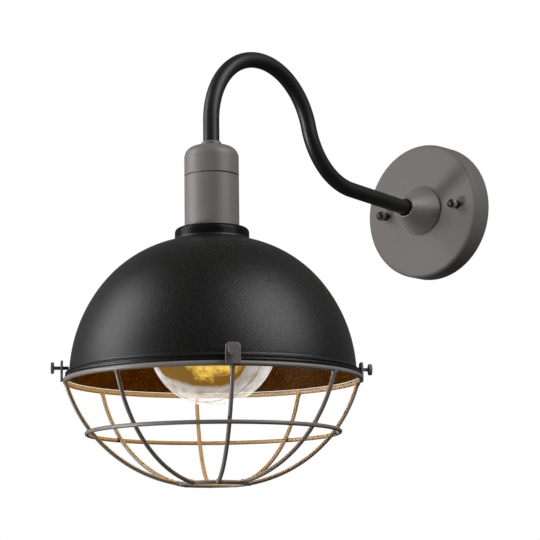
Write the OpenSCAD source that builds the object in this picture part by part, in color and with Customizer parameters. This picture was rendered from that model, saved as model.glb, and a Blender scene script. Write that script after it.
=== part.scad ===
// Gooseneck wall light: a round wall plate, a bent tube arm, a socket housing, a spun dome
// shade and a wire cage that hangs under the shade on four thumbscrews.
// Millimetres. The wall is the plane y = 0 and +Z is up. The origin is the centre of the
// wall plate's back face, and the lamp hangs out towards -Y.

/* [Wall plate] */
// Diameter of the round wall plate
plate_d = 150; // [136:1:180]
// Depth from the wall to the plate's face
plate_depth = 24; // [22:0.5:32]
// Thickness of the plate's sheet
plate_wall = 1.5; // [1:0.1:2]
// Radius of the rounded front edge
plate_edge_r = 4.5; // [2.5:0.1:8]

/* [Mounting strap] */
// Distance between the two studs that hold the plate
stud_spacing = 98.4; // [96:0.2:110]
// Diameter of the studs
stud_d = 4; // [3:0.1:4.5]
// Width of the strap's bar
strap_w = 22; // [18:1:28]
// Thickness of the strap
strap_t = 2.5; // [2:0.1:3]
// Bar left outside each stud's centre
strap_end = 8.8; // [7:0.2:11]
// Diameter of the round middle of the strap
strap_boss_d = 46; // [42:1:50]
// Diameter of the hole that the supply wires come through
strap_hole_d = 26; // [20:1:28]
// Distance between the middles of the two slots for the wall box's screws
box_screw_spacing = 70; // [68:0.5:72]
// Length of each slot, end to end
box_slot_l = 14; // [8:0.5:15]
// Width of each slot
box_slot_w = 4.4; // [3.6:0.1:5]
// Width of the studs' lock nuts across the flats
stud_nut_af = 7; // [6:0.5:8]
// Thickness of the studs' lock nuts
stud_nut_h = 3.2; // [2.4:0.2:4]

/* [Ball nuts] */
// Diameter of the ball
ball_d = 11; // [9:0.5:13]
// Diameter of the neck under the ball
ball_neck_d = 9; // [7:0.5:9]
// Distance from the plate's face to the ball's centre
ball_h = 8.5; // [7.5:0.5:12]
// Length of stud inside each ball nut
ball_grip = 7.5; // [5:0.5:10]

/* [Arm cone] */
// Diameter of the cone where it meets the plate
cone_base_d = 54; // [44:1:70]
// Diameter of the cone's lip, where the arm comes out
cone_lip_d = 22; // [21:0.5:28]
// Length of the cone
cone_l = 30; // [20:1:40]
// Depth of the recess round the arm in the cone's lip
cone_recess = 11; // [4:1:14]
// Gap round the arm in that recess
cone_recess_gap = 1.6; // [1:0.1:2]
// Height and depth of the shadow groove between the cone and the plate
cone_groove = 0.6; // [0.3:0.1:1.2]

/* [Arm] */
// Outer diameter of the arm's tube
tube_d = 16; // [13:0.5:17]
// Wall of the arm's tube
tube_wall = 1.5; // [1:0.1:2]
// Bend radius of the tube's centreline, the same for all bends
bend_r = 76; // [60:1:80]
// Distance from the wall to the lamp's axis
reach = 366; // [350:1:420]
// Distance from the wall to where the arm starts to rise
arm_straight = 60; // [56:1:64]
// Angle at which the arm rises from the wall plate
arm_rise = 3.5; // [1:0.5:6]
// Steepest angle of the arm, between its two large bends
arm_climb = 75; // [66:1:80]
// Length of tube behind the plate's inner face
arm_tail = 12.5; // [11:0.5:14]
// Width of the arm's nuts across the flats
arm_nut_af = 20; // [19:0.5:21]
// Thickness of the arm's nuts
arm_nut_h = 6; // [4:0.5:7]
// Length of tube below the nut inside the cap
arm_foot_l = 2; // [1:0.5:4]
// Diameter of the arm's washer
washer_d = 30; // [26:1:34]
// Thickness of the arm's washer
washer_t = 1.2; // [0.8:0.2:1.8]

/* [Socket cap] */
// Outer diameter of the cap and the sleeve
housing_d = 53.6; // [51:0.2:56]
// Height of the cap's top above the origin
cap_top = 15; // [10:1:22]
// Height of the cap
cap_h = 30; // [26:1:36]
// Radius of the cap's rounded shoulder
cap_round = 11.5; // [5:0.5:14]
// Wall of the cap
cap_wall = 1.8; // [1.4:0.1:2.2]
// Diameter of the collar on the arm
collar_d = 20; // [19:0.5:24]
// Height of the collar
collar_h = 5; // [4:0.5:8]
// Chamfer round the collar's top edge
collar_chamfer = 1; // [0.4:0.1:1.4]
// Diameter of the collar's grub screw
grub_d = 2.4; // [2:0.1:3]
// Distance that the grub screw stands out from the collar
grub_out = 0.4; // [0.1:0.1:0.8]
// Direction that the grub screw faces, turned from +X
grub_turn = -40; // [-180:5:180]

/* [Socket sleeve] */
// Length of the sleeve below the seam
sleeve_l = 52; // [44:0.2:60]
// Wall of the sleeve
sleeve_wall = 2.8; // [2.4:0.1:3.2]
// Length of the spigot that enters the cap
spigot_l = 6; // [4:0.5:9]
// Chamfer on each side of the seam
seam_chamfer = 0.5; // [0.2:0.1:0.8]

/* [Lampholder] */
// Diameter of the lampholder's body
holder_d = 40; // [38:0.5:42]
// Length of the lampholder's body
holder_l = 56; // [50:1:60]
// Length of the body below the shade's neck
holder_out = 27; // [26:0.2:34]
// Depth of the body's bore for the bulb's base
holder_bore_l = 28; // [26:0.5:30]
// Wall of the brass screw shell
shell_wall = 0.5; // [0.3:0.1:0.8]
// Thickness of the bracket that carries the lampholder
bracket_t = 1.5; // [1:0.1:2]
// Width of the bracket's strip
bracket_w = 12; // [10:0.5:13]
// Distance between the bracket's two legs, outside to outside
bracket_span = 28; // [27.5:0.5:28.5]
// Length of each of the bracket's feet
bracket_foot = 9; // [8:0.5:9.5]
// Distance between the two screws in the feet
bracket_screw_spacing = 19; // [18:0.5:19]
// Diameter of the bracket's and the terminals' screws
small_screw_d = 3; // [2.5:0.1:3.5]
// Diameter of the heads of those screws
small_head_d = 5.5; // [5:0.1:6]
// Height of the heads of those screws
small_head_h = 2; // [1.4:0.1:2.4]
// Length of those screws inside the lampholder
small_screw_l = 7; // [5:0.5:8]
// Distance between the two terminal screws
terminal_spacing = 18; // [16:0.5:20]
// Outer diameter of the ring that clamps the shade
shade_ring_d = 56; // [52:1:60]
// Height of the ring that clamps the shade
shade_ring_h = 6; // [4:0.5:8]

/* [Bulb] */
// Diameter of the globe
globe_d = 125; // [95:1:128]
// Wall of the glass
glass_wall = 1; // [0.6:0.1:1.5]
// Length from the tip of the globe to the tip of the contact
bulb_l = 172; // [150:1:176]
// Diameter of the screw base
base_d = 26.2; // [25:0.1:26.6]
// Length of the screw base, with its contact
base_l = 25.3; // [24:0.1:26]
// Length of glass inside the screw base
stub_l = 6; // [4:0.5:8]
// Length of the glass stem below the screw base
stem_l = 34; // [30:1:40]
// Wall of the screw base
base_wall = 0.5; // [0.3:0.1:0.8]
// Diameter of the glass neck below the screw base
bulb_neck_d = 32; // [28:0.5:34]
// Radius of the curve between the neck and the globe
neck_blend_r = 22; // [15:1:30]
// Radius of the ring on which the filament's hairpins stand
filament_ring_r = 15; // [10:1:20]
// Height of the filament's hairpins
filament_h = 80; // [50:1:88]
// Number of upright filament wires
filament_wires = 10; // [6:2:14]
// Diameter of the filament's wire
filament_d = 0.8; // [0.5:0.1:1.2]

/* [Shade] */
// Distance from the middle of the cage's top ring in to the dome's wall at the rim
rim_inset = 4; // [3.5:0.1:6]
// Slope of the dome's wall at the rim, from the vertical
dome_rim_slope = 4; // [2:0.5:8]
// Radius of the dome's lower curve
dome_low_r = 145; // [135:1:155]
// Radius of the dome's upper curve
dome_up_r = 121.5; // [114:0.5:126]
// Angle above the horizontal at which the two curves meet
dome_join = 39; // [34:1:44]
// Thickness of the shade's sheet
shade_wall = 1.5; // [1:0.1:2]
// Diameter of the raised neck
shade_neck_d = 72.8; // [68:0.2:80]
// Height of the neck above the dome
shade_neck_h = 12.4; // [11:0.2:20]
// Radius of the neck's upper edge
neck_edge_r = 4.5; // [3:0.1:6]
// Radius of the hollow curve at the neck's foot
neck_foot_r = 2.5; // [1.5:0.1:3.5]
// Height of the rolled rim
rim_h = 10.2; // [9:0.2:11]
// Radius of the hollow curve from the dome's wall out to the rim's lip
rim_cove_r = 4; // [3:0.5:6]
// Radius of the bead along the rim's lower edge
rim_bead_r = 1.5; // [1.3:0.1:1.7]
// Distance that the bead stands out from the dome's wall
rim_flare = 4.4; // [4:0.1:4.8]
// Radius of the groove between the lip and the bead
rim_groove_r = 1; // [0.7:0.1:1.1]

/* [Cage] */
// Radius of the top ring, to the middle of its wire
cage_r = 142; // [141:0.5:152]
// Drop from the shade's bead to the top of the cage
cage_drop = 0.4; // [0.3:0.1:3]
// Diameter of the top ring's wire
top_wire_d = 4.8; // [4:0.1:6]
// Diameter of the other wires
rib_d = 4; // [3:0.1:5]
// Height from the middle of the bottom ring's wire to that of the top ring's
cage_h = 99; // [80:1:120]
// Radius of the bottom ring, to the middle of its wire
cage_bottom_r = 32; // [25:0.5:45]
// Radius of the curve of each rib
rib_curve_r = 136; // [125:1:170]
// Number of ribs
rib_count = 8; // [8]
// Drop from the top ring to the middle ring
mid_ring_drop = 50.5; // [35:0.5:65]
// Turn of the cage about the lamp's axis, from +X to the first tab
cage_turn = -40; // [-90:1:90]

/* [Tabs and thumbscrews] */
// Number of tabs
tab_count = 4; // [4]
// Width of each tab
tab_w = 13.8; // [12:0.2:18]
// Height of each tab
tab_h = 19.5; // [18.5:0.5:22]
// Thickness of each tab
tab_t = 2; // [1.5:0.1:3]
// Radius of each tab's upper corners
tab_corner_r = 4; // [2:0.5:5]
// Height of each tab's lower edge under the middle of the top ring
tab_foot = 1; // [0:0.2:1.6]
// Diameter of the thumbscrews
thumb_d = 3.5; // [3:0.1:4]
// Height of the thumbscrews above the foot of the dome's wall
thumb_rise = -1.6; // [-2.4:0.1:0.6]
// Diameter of the thumbscrews' heads
thumb_head_d = 11; // [9:0.5:13]
// Thickness of the thumbscrews' heads
thumb_head_t = 3.1; // [2:0.1:4.5]
// Bare screw between each tab and its thumbscrew's head
thumb_bare = 6.2; // [6:0.2:9]

/* [Wiring] */
// Diameter of the insulated leads
lead_d = 2.1; // [1.6:0.1:2.4]
// Distance between the two leads inside the arm
lead_spacing = 5.2; // [3:0.2:6]
// Bend radius of the leads behind the arm's end
lead_bend_r = 4.5; // [3.5:0.1:4.6]
// Depth of the leads in the lampholder's top
lead_in = 8; // [5:0.5:10]
// Diameter of the bare ground lead
ground_d = 1.6; // [1.2:0.1:2]
// Diameter of the ground screw
ground_screw_d = 4; // [3:0.1:4.5]
// Diameter of the ground screw's head
ground_head_d = 8.4; // [8:0.1:9]
// Height of the ground screw's head
ground_head_h = 2.4; // [1.6:0.1:3]
// Distance from the strap's middle to the ground screw
ground_r = 18.4; // [17:0.2:18.6]
// Direction from the strap's middle to the ground screw, turned from +X
ground_turn = -35; // [-50:1:-30]
// Outer diameter of the closed wire connectors
connector_d = 6.4; // [5.6:0.1:6.6]
// Length of the closed wire connectors
connector_l = 16; // [13:0.5:20]
// Distance from the arm's centre to the mouth of each connector
connector_reach = 25; // [24:0.5:30]

/* [Fits] */
// Radial clearance of a piece that slides on another
slide_gap = 0.05; // [0.02:0.01:0.1]
// Radial clearance of a thread or a spigot
thread_gap = 0.1; // [0.05:0.01:0.15]
// Clearance between two curved pieces that touch
touch_gap = 0.05; // [0.03:0.01:0.2]
// Clearance between moving pieces that don't carry each other
free_gap = 0.3; // [0.2:0.05:0.5]

/* [Hidden] */
$fn = 96;

// Width and height of the bands between the lengths of a bent tube; the height is also the
// depth by which one curve runs into the next
band_w = 0.4;
band_h = 0.05;

// Wall side, measured from the wall
plate_r = plate_d / 2;
plate_inner = plate_depth - plate_wall;
stud_x = stud_spacing / 2;
stud_tip = plate_depth + ball_grip;
washer_base = plate_inner - washer_t;
arm_nut_base = washer_base - arm_nut_h;
arm_end = plate_inner - arm_tail;

// Arm's path: straight, a small bend, a sloping run, a bend up, a bend over, straight down
tube_r = tube_d / 2;
low_bend_s = reach - bend_r - 2 * bend_r * sin(arm_climb);
slope_run = (low_bend_s - arm_straight) / cos(arm_rise);
low_bend_z = bend_r + slope_run * sin(arm_rise);
top_bend_z = low_bend_z - 2 * bend_r * cos(arm_climb);

// Lamp side, measured from the origin's height
housing_r = housing_d / 2;
grub_socket = 1;
cap_base = cap_top - cap_h;
cap_inner_top = cap_top - cap_wall;
spigot_r = housing_r - cap_wall - thread_gap;
sleeve_base = cap_base - sleeve_l;
sleeve_bore_r = housing_r - sleeve_wall;
holder_r = holder_d / 2;
holder_base = sleeve_base - holder_out;
holder_top = holder_base + holder_l;
holder_floor = holder_base + holder_bore_l;
bracket_top = cap_inner_top;
bracket_eye_r = tube_r + 4;
screw_hole_l = small_screw_l + 1;
cap_nut_top = bracket_top - bracket_t;
cap_nut_base = cap_nut_top - arm_nut_h;
arm_foot = cap_nut_base - arm_foot_l;
shade_ring_top = sleeve_base - shade_wall;

// Bulb, hung from the lampholder's floor
contact_t = 2.2;
bulb_tip = holder_floor - contact_t - free_gap;
globe_r = globe_d / 2;
globe_z = bulb_tip - bulb_l + globe_r;
base_r = base_d / 2;
base_foot = bulb_tip - base_l;
tip_h = 1.2;
insulator_h = 2.3;
base_shoulder = bulb_tip - tip_h - insulator_h;
bulb_neck_r = bulb_neck_d / 2;
neck_room = 1.5;
bulb_neck_top = holder_base - neck_room;
stub_r = base_r - base_wall - touch_gap;
stub_top = base_foot + stub_l;
blend_x = bulb_neck_r + neck_blend_r;
blend_z = globe_z + sqrt(pow(globe_r + neck_blend_r, 2) - pow(blend_x, 2));
stem_r = 4.2;
stem_top = base_foot + stub_l / 2;
stem_foot = base_foot - stem_l;
stem_rod_r = 1.2;
rod_foot_l = 3;
filament_top = stem_foot - 2;
filament_base = filament_top - filament_h;
filament_ring_wire_r = filament_d / 2 + 0.15;
shell_r = base_r + free_gap;
shell_inset = 2;
shell_lip = 3;
contact_r = 5.5;
contact_boss_r = 3.6;
tip_r = 5;

// Dome: two curves that meet smoothly, and a rim that stands over the cage's top ring;
// heights from the foot of the dome's wall
dome_rim_r = cage_r - rim_inset;
low_cx = dome_rim_r - dome_low_r * cos(dome_rim_slope);
low_cz = -dome_low_r * sin(dome_rim_slope);
up_cx = low_cx + (dome_low_r - dome_up_r) * cos(dome_join);
up_cz = low_cz + (dome_low_r - dome_up_r) * sin(dome_join);
shade_neck_r = shade_neck_d / 2;
dome_top = up_cz + sqrt(pow(dome_up_r, 2) - pow(shade_neck_r - up_cx, 2));
neck_top = dome_top + shade_neck_h;
dome_foot = sleeve_base - neck_top;
foot_cx = shade_neck_r + neck_foot_r;
foot_angle = acos((foot_cx - up_cx) / (dome_up_r + neck_foot_r));
foot_cz = up_cz + (dome_up_r + neck_foot_r) * sin(foot_angle);
rim_wall_lift = 0.9;
rim_lip_in = 0.4;
rim_lip_t = 0.4;
rim_groove_lift = 0.1;
bead_r = dome_rim_r + rim_flare - rim_bead_r;
bead_z = -rim_h + rim_bead_r;
lip_r = bead_r + rim_bead_r - rim_lip_in;
groove_z = bead_z + rim_bead_r + rim_groove_lift;
lip_z = groove_z + rim_groove_r + rim_lip_t;
cove_wall_r = low_cx + sqrt(pow(dome_low_r, 2) - pow(lip_z + rim_cove_r - low_cz, 2));
cove_cx = cove_wall_r - band_h + rim_cove_r;
cove_cz = lip_z + sqrt(pow(rim_cove_r, 2) - pow(cove_cx - lip_r, 2));
wall_foot_z = bead_z + rim_bead_r + rim_wall_lift;
rim_inner_r = low_cx + sqrt(pow(dome_low_r - shade_wall, 2) - pow(wall_foot_z - low_cz, 2));

// Cage, measured from the middle of the top ring's wire
top_wire_r = top_wire_d / 2;
rib_r = rib_d / 2;
cage_z = dome_foot - rim_h - cage_drop - top_wire_r;
rib_dx = cage_r - cage_bottom_r;
rib_chord = norm([rib_dx, cage_h]);
rib_sag = sqrt(pow(rib_curve_r, 2) - pow(rib_chord / 2, 2));
rib_cx = (cage_r + cage_bottom_r) / 2 - rib_sag * cage_h / rib_chord;
rib_cz = -cage_h / 2 + rib_sag * rib_dx / rib_chord;
rib_top_angle = atan2(-rib_cz, cage_r - rib_cx);
rib_foot_angle = atan2(-cage_h - rib_cz, cage_bottom_r - rib_cx);
mid_ring_off = rib_curve_r + rib_d + touch_gap;
mid_ring_r = rib_cx + sqrt(pow(mid_ring_off, 2) - pow(mid_ring_drop + rib_cz, 2));

// Thumbscrews, measured from the lamp's axis
thumb_r = thumb_d / 2;
thumb_chamfer = 0.6;
thumb_edge = min(0.5, thumb_head_t / 4);
thumb_z = dome_foot + thumb_rise;
thumb_under = thumb_rise - thumb_r + thumb_chamfer - cove_cz;
thumb_tip = cove_cx - sqrt(pow(rim_cove_r - free_gap, 2) - pow(thumb_under, 2));
tab_inner = cage_r + top_wire_r + touch_gap;
thumb_head = tab_inner + tab_t + thumb_bare;

// Wiring
lead_r = lead_d / 2;
lead_wall_s = arm_end - lead_bend_r;
lead_tip = connector_reach + connector_l / 2;
ground_x = ground_r * cos(ground_turn);
ground_y = ground_r * sin(ground_turn);
ground_loop_r = ground_screw_d / 2 + ground_d / 2 + touch_gap;
ground_s = strap_t + ground_d / 2 + touch_gap;
ground_head_s = ground_s + ground_d / 2 + touch_gap;

BLACK = "#1c1c1b";
GREY = "#76706c";
STEEL = "#9a9a9a";
BRASS = "#b08d57";
PORCELAIN = "#e9e6dd";
GLASS = [0.95, 0.9, 0.8, 0.35];

// Frames. In the wall's frame +z leads out from the wall and +y is up.
module on_wall() rotate([90, 0, 0]) children();
module on_lamp() translate([0, -reach, 0]) children();
module on_rim() translate([0, -reach, dome_foot]) children();
module on_cage() translate([0, -reach, cage_z]) children();
module both_sides() for (side = [0, 1]) mirror([side, 0, 0]) children();

// Half profile of a round box of radius r and height h with its top edge rounded by e
module rounded_half(r, h, e) {
    square([r - e, h]);
    square([r, h - e]);
    translate([r - e, h - e]) circle(e);
}

// Half profile kept to the right of the axis
module right_half() intersection() {
    children();
    translate([0, -reach]) square([reach, 2 * reach]);
}

// Flat ring section, or a disc where the bore is 0
module ring_section(outer, inner) difference() {
    circle(outer);
    if (inner > 0) circle(inner);
}

// Upright tube, or a rod where the bore is 0
module tube(outer, inner, height) linear_extrude(height) ring_section(outer, inner);

// Hexagonal nut that stands on z = 0
module hex_nut(across_flats, height, bore_r) linear_extrude(height) difference() {
    circle(across_flats / 2 / cos(30), $fn = 6);
    circle(bore_r);
}

// Screw with a flat round head: the head stands on z = 0 and the shank hangs below it
module pan_screw(shank_d, shank_l, head_d, head_h) {
    cylinder(d = head_d, h = head_h * 0.6);
    translate([0, 0, head_h * 0.6]) cylinder(d1 = head_d, d2 = head_d * 0.7, h = head_h * 0.4);
    translate([0, 0, -shank_l]) cylinder(d = shank_d, h = shank_l);
}

// Tube or rod that runs along +x through a list of ["straight", length] and
// ["left" or "right", angle, radius] steps, each starting where the last one ends.
// A fine band joins each step to the next one.
module run(path, outer, inner = 0, i = 0) {
    if (i > 0 && i < len(path))
        translate([-band_w / 2, 0, 0]) rotate([0, 90, 0])
            tube(outer + band_h, max(0, inner - band_h), band_w);
    if (i < len(path)) {
        step = path[i];
        if (step[0] == "straight") {
            rotate([0, 90, 0]) tube(outer, inner, step[1]);
            translate([step[1], 0, 0]) run(path, outer, inner, i + 1);
        } else {
            side = step[0] == "left" ? 1 : -1;
            mirror([0, side < 0 ? 1 : 0, 0])
                translate([0, step[2], 0])
                    rotate([0, 0, -90])
                        rotate_extrude(angle = step[1])
                            translate([step[2], 0]) ring_section(outer, inner);
            translate([step[2] * sin(step[1]), side * step[2] * (1 - cos(step[1])), 0])
                rotate([0, 0, side * step[1]])
                    run(path, outer, inner, i + 1);
        }
    }
}

// The arm's path from the distance start off the wall to the height foot at the lamp
function arm_path(start, foot) = [
    ["straight", arm_straight - start],
    ["left", arm_rise, bend_r],
    ["straight", slope_run],
    ["left", arm_climb - arm_rise, bend_r],
    ["right", arm_climb + 90, bend_r],
    ["straight", top_bend_z - foot]
];

// Side view frame of the arm: +x leads out from the wall, +y is up and +z is -X
module in_arm_plane(x) translate([x, 0, 0]) rotate([90, 0, -90]) children();

module wall_plate() color(GREY) on_wall() difference() {
    rotate_extrude() difference() {
        rounded_half(plate_r, plate_depth, plate_edge_r);
        rounded_half(plate_r - plate_wall, plate_inner, plate_edge_r - plate_wall);
    }
    cylinder(r = tube_r + thread_gap, h = plate_depth + 1);
    both_sides() translate([stud_x, 0, 0])
        cylinder(r = stud_d / 2 + 4 * thread_gap, h = plate_depth + 1);
}

module slot(length, width) {
    square([length - width, width], center = true);
    for (end = [-1, 1]) translate([end * (length - width) / 2, 0]) circle(d = width);
}

module mounting_strap() color(STEEL) on_wall() linear_extrude(strap_t) difference() {
    union() {
        slot(stud_spacing + 2 * strap_end, strap_w);
        circle(d = strap_boss_d);
    }
    circle(d = strap_hole_d);
    both_sides() {
        translate([stud_x, 0]) circle(r = stud_d / 2 + thread_gap);
        translate([box_screw_spacing / 2, 0]) slot(box_slot_l, box_slot_w);
    }
    translate([ground_x, ground_y]) circle(r = ground_screw_d / 2 + thread_gap);
}

module mounting_studs() color(STEEL) on_wall()
    both_sides() translate([stud_x, 0, 0]) cylinder(d = stud_d, h = stud_tip);

module stud_nuts() color(STEEL) on_wall()
    both_sides() translate([stud_x, 0, strap_t])
        hex_nut(stud_nut_af, stud_nut_h, stud_d / 2 + thread_gap);

module ball_nut(side) color(GREY) on_wall() translate([side * stud_x, 0, plate_depth + touch_gap])
    difference() {
        union() {
            cylinder(d = ball_neck_d, h = ball_h);
            translate([0, 0, ball_h]) sphere(d = ball_d);
        }
        translate([0, 0, -1]) cylinder(r = stud_d / 2 + slide_gap, h = ball_grip + 1.5);
    }
module ball_nut_left() ball_nut(-1);
module ball_nut_right() ball_nut(1);

module arm_cone() color(GREY) on_wall() translate([0, 0, plate_depth]) difference() {
    union() {
        cylinder(r = cone_base_d / 2 - cone_groove, h = cone_groove);
        translate([0, 0, cone_groove]) cylinder(d = cone_base_d, h = cone_groove);
        translate([0, 0, 2 * cone_groove])
            cylinder(d1 = cone_base_d, d2 = cone_lip_d, h = cone_l - 2 * cone_groove);
    }
    translate([0, 0, -1]) cylinder(r = tube_r + thread_gap, h = cone_l + 2);
    translate([0, 0, cone_l - cone_recess]) cylinder(r = tube_r + cone_recess_gap, h = cone_recess + 1);
}

module arm_washer() color(STEEL) on_wall() translate([0, 0, washer_base])
    tube(washer_d / 2, tube_r + thread_gap, washer_t);

module arm_locknut() color(STEEL) on_wall() translate([0, 0, arm_nut_base])
    hex_nut(arm_nut_af, arm_nut_h, tube_r + thread_gap);

module ground_screw() color("#3f7d3a") on_wall() translate([ground_x, ground_y, ground_head_s])
    pan_screw(ground_screw_d, ground_head_s, ground_head_d, ground_head_h);

// The bare lead hooks round the ground screw and runs down to its connector
module ground_lead() color(BRASS) on_wall() translate([ground_x, ground_y, ground_s]) {
    rotate_extrude(angle = 270) translate([ground_loop_r, 0]) circle(d = ground_d);
    translate([ground_loop_r, 0, 0]) rotate([90, 0, 0]) cylinder(d = ground_d, h = lead_tip + ground_y);
}

// The leads run from their connectors through the arm to the lampholder
module lead(side) in_arm_plane(side * lead_spacing / 2)
    translate([lead_wall_s, side * lead_tip, 0]) rotate([0, 0, -side * 90])
        run(concat(
            [["straight", lead_tip - lead_bend_r], [side > 0 ? "left" : "right", 90, lead_bend_r]],
            arm_path(arm_end, holder_top - lead_in)
        ), lead_r);
module lead_live() color("#222222") lead(-1);
module lead_neutral() color("#dddddd") lead(1);

// Closed connector: the lead enters its flared mouth at z = 0 and ends half way up it
module connector(wire_r) difference() {
    union() {
        cylinder(d = connector_d, h = connector_l * 0.7);
        translate([0, 0, connector_l * 0.7])
            cylinder(d1 = connector_d, d2 = connector_d * 0.7, h = connector_l * 0.3);
    }
    translate([0, 0, -1]) cylinder(r = wire_r + thread_gap, h = connector_l / 2 + 1 + touch_gap);
    translate([0, 0, -1]) cylinder(r1 = connector_d / 2, r2 = wire_r, h = connector_l / 4);
}

module wire_connectors() color("#d9a02b") on_wall() {
    for (side = [-1, 1])
        translate([side * lead_spacing / 2, side * connector_reach, lead_wall_s])
            rotate([-side * 90, 0, 0]) connector(lead_r);
    translate([ground_x + ground_loop_r, -connector_reach, ground_s])
        rotate([90, 0, 0]) connector(ground_d / 2);
}

module gooseneck_arm() color(BLACK) in_arm_plane(0) translate([arm_end, 0, 0])
    run(arm_path(arm_end, arm_foot), tube_r, tube_r - tube_wall);

module cap_collar() color(GREY) on_lamp() translate([0, 0, cap_top]) difference() {
    union() {
        cylinder(d = collar_d, h = collar_h - collar_chamfer);
        translate([0, 0, collar_h - collar_chamfer])
            cylinder(d1 = collar_d, d2 = collar_d - 2 * collar_chamfer, h = collar_chamfer);
    }
    translate([0, 0, -1]) cylinder(r = tube_r + thread_gap, h = collar_h + 2);
    rotate([0, 90, grub_turn]) translate([-collar_h / 2, 0, 0])
        cylinder(r = grub_d / 2 + thread_gap, h = collar_d);
}

module collar_grub_screw() color(STEEL) on_lamp() translate([0, 0, cap_top + collar_h / 2])
    rotate([0, 90, grub_turn]) translate([0, 0, tube_r + touch_gap]) difference() {
        cylinder(d = grub_d, h = collar_d / 2 - tube_r + grub_out);
        translate([0, 0, collar_d / 2 - tube_r + grub_out - grub_socket])
            cylinder(d = grub_d / 2, h = 2 * grub_socket, $fn = 6);
    }

// The cap's skirt is bored for the sleeve's spigot
module socket_cap() color(GREY) on_lamp() translate([0, 0, cap_base]) difference() {
    rotate_extrude() difference() {
        rounded_half(housing_r, cap_h, cap_round);
        rounded_half(housing_r - cap_wall, cap_h - cap_wall, cap_round - cap_wall);
        polygon([
            [housing_r - seam_chamfer, -0.01],
            [housing_r + 0.01, -0.01],
            [housing_r + 0.01, seam_chamfer]
        ]);
    }
    cylinder(r = tube_r + thread_gap, h = cap_h + 1);
}

module cap_nut() color(STEEL) on_lamp() translate([0, 0, cap_nut_base])
    hex_nut(arm_nut_af, arm_nut_h, tube_r + thread_gap);

// A folded strip hangs from the arm's end, and its feet carry the lampholder
module lampholder_bracket() color(STEEL) on_lamp() difference() {
    union() {
        translate([-bracket_w / 2, -bracket_span / 2, bracket_top - bracket_t])
            cube([bracket_w, bracket_span, bracket_t]);
        translate([0, 0, bracket_top - bracket_t]) cylinder(r = bracket_eye_r, h = bracket_t);
        for (side = [0, 180]) rotate([0, 0, side]) {
            translate([-bracket_w / 2, bracket_span / 2 - bracket_t, holder_top])
                cube([bracket_w, bracket_t, bracket_top - holder_top]);
            translate([-bracket_w / 2, bracket_span / 2 - bracket_foot, holder_top])
                cube([bracket_w, bracket_foot, bracket_t]);
        }
    }
    translate([0, 0, bracket_top - bracket_t - 1]) cylinder(r = tube_r + thread_gap, h = bracket_t + 2);
    for (side = [-1, 1]) translate([0, side * bracket_screw_spacing / 2, holder_top - 1])
        cylinder(r = small_screw_d / 2 + thread_gap, h = bracket_t + 2);
}

module bracket_screws() color(STEEL) on_lamp()
    for (side = [-1, 1]) translate([0, side * bracket_screw_spacing / 2, holder_top + bracket_t])
        pan_screw(small_screw_d, bracket_t + small_screw_l, small_head_d, small_head_h);

module socket_sleeve() color(GREY) on_lamp() translate([0, 0, sleeve_base]) rotate_extrude() difference() {
    union() {
        square([housing_r, sleeve_l]);
        square([spigot_r, sleeve_l + spigot_l]);
    }
    translate([0, -1]) square([sleeve_bore_r, sleeve_l + spigot_l + 2]);
    polygon([
        [housing_r - seam_chamfer, sleeve_l + 0.01],
        [housing_r + 0.01, sleeve_l + 0.01],
        [housing_r + 0.01, sleeve_l - seam_chamfer]
    ]);
}

module lampholder_body() color(PORCELAIN) on_lamp() difference() {
    translate([0, 0, holder_base]) cylinder(r = holder_r, h = holder_l);
    translate([0, 0, holder_base - 1])
        cylinder(r = shell_r + shell_wall + touch_gap, h = holder_bore_l + 1);
    for (side = [-1, 1]) {
        translate([0, side * bracket_screw_spacing / 2, holder_top - screw_hole_l])
            cylinder(r = small_screw_d / 2 + thread_gap, h = screw_hole_l + 1);
        translate([side * terminal_spacing / 2, 0, holder_top - screw_hole_l])
            cylinder(r = small_screw_d / 2 + thread_gap, h = screw_hole_l + 1);
        translate([side * lead_spacing / 2, 0, holder_top - lead_in - touch_gap])
            cylinder(r = lead_r + thread_gap, h = lead_in + 1);
    }
}

module terminal_screws() color(BRASS) on_lamp()
    for (side = [-1, 1]) translate([side * terminal_spacing / 2, 0, holder_top])
        pan_screw(small_screw_d, small_screw_l, small_head_d, small_head_h);

module lampholder_shell() color(BRASS) on_lamp() rotate_extrude() {
    translate([shell_r, holder_base + shell_inset]) square([shell_wall, holder_bore_l - shell_inset]);
    translate([shell_r - shell_lip, holder_floor - shell_wall])
        square([shell_lip + shell_wall, shell_wall]);
}

module lampholder_contact() color(BRASS) on_lamp() translate([0, 0, holder_floor - contact_t]) {
    cylinder(r = contact_boss_r, h = contact_t / 2);
    translate([0, 0, contact_t / 2]) cylinder(r = contact_r, h = contact_t / 2);
}

module shade_ring() color(BLACK) on_lamp() translate([0, 0, shade_ring_top - shade_ring_h])
    tube(shade_ring_d / 2, holder_r + thread_gap, shade_ring_h);

// Half profile of everything under the dome's outside and inside the neck, drawn in by o
module under_dome(o) {
    intersection() {
        union() {
            translate([up_cx, up_cz]) circle(dome_up_r - o);
            intersection() {
                translate([low_cx, low_cz]) circle(dome_low_r - o);
                polygon([
                    [low_cx, low_cz],
                    [low_cx + 2 * dome_low_r, low_cz - dome_low_r],
                    [low_cx, low_cz] + 2 * dome_low_r * [cos(dome_join), sin(dome_join)]
                ]);
            }
        }
        translate([0, wall_foot_z]) square(2 * dome_rim_r);
    }
    translate([0, dome_top - neck_edge_r])
        rounded_half(shade_neck_r - o, shade_neck_h + neck_edge_r - o, neck_edge_r - o);
}

// Corner between the neck and the dome, before its hollow curve is cut
module neck_corner() {
    left = shade_neck_r - shade_wall / 2;
    right = up_cx + dome_up_r * cos(foot_angle);
    translate([left, dome_top - shade_wall]) square([right - left, foot_cz - dome_top + shade_wall]);
}

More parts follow.
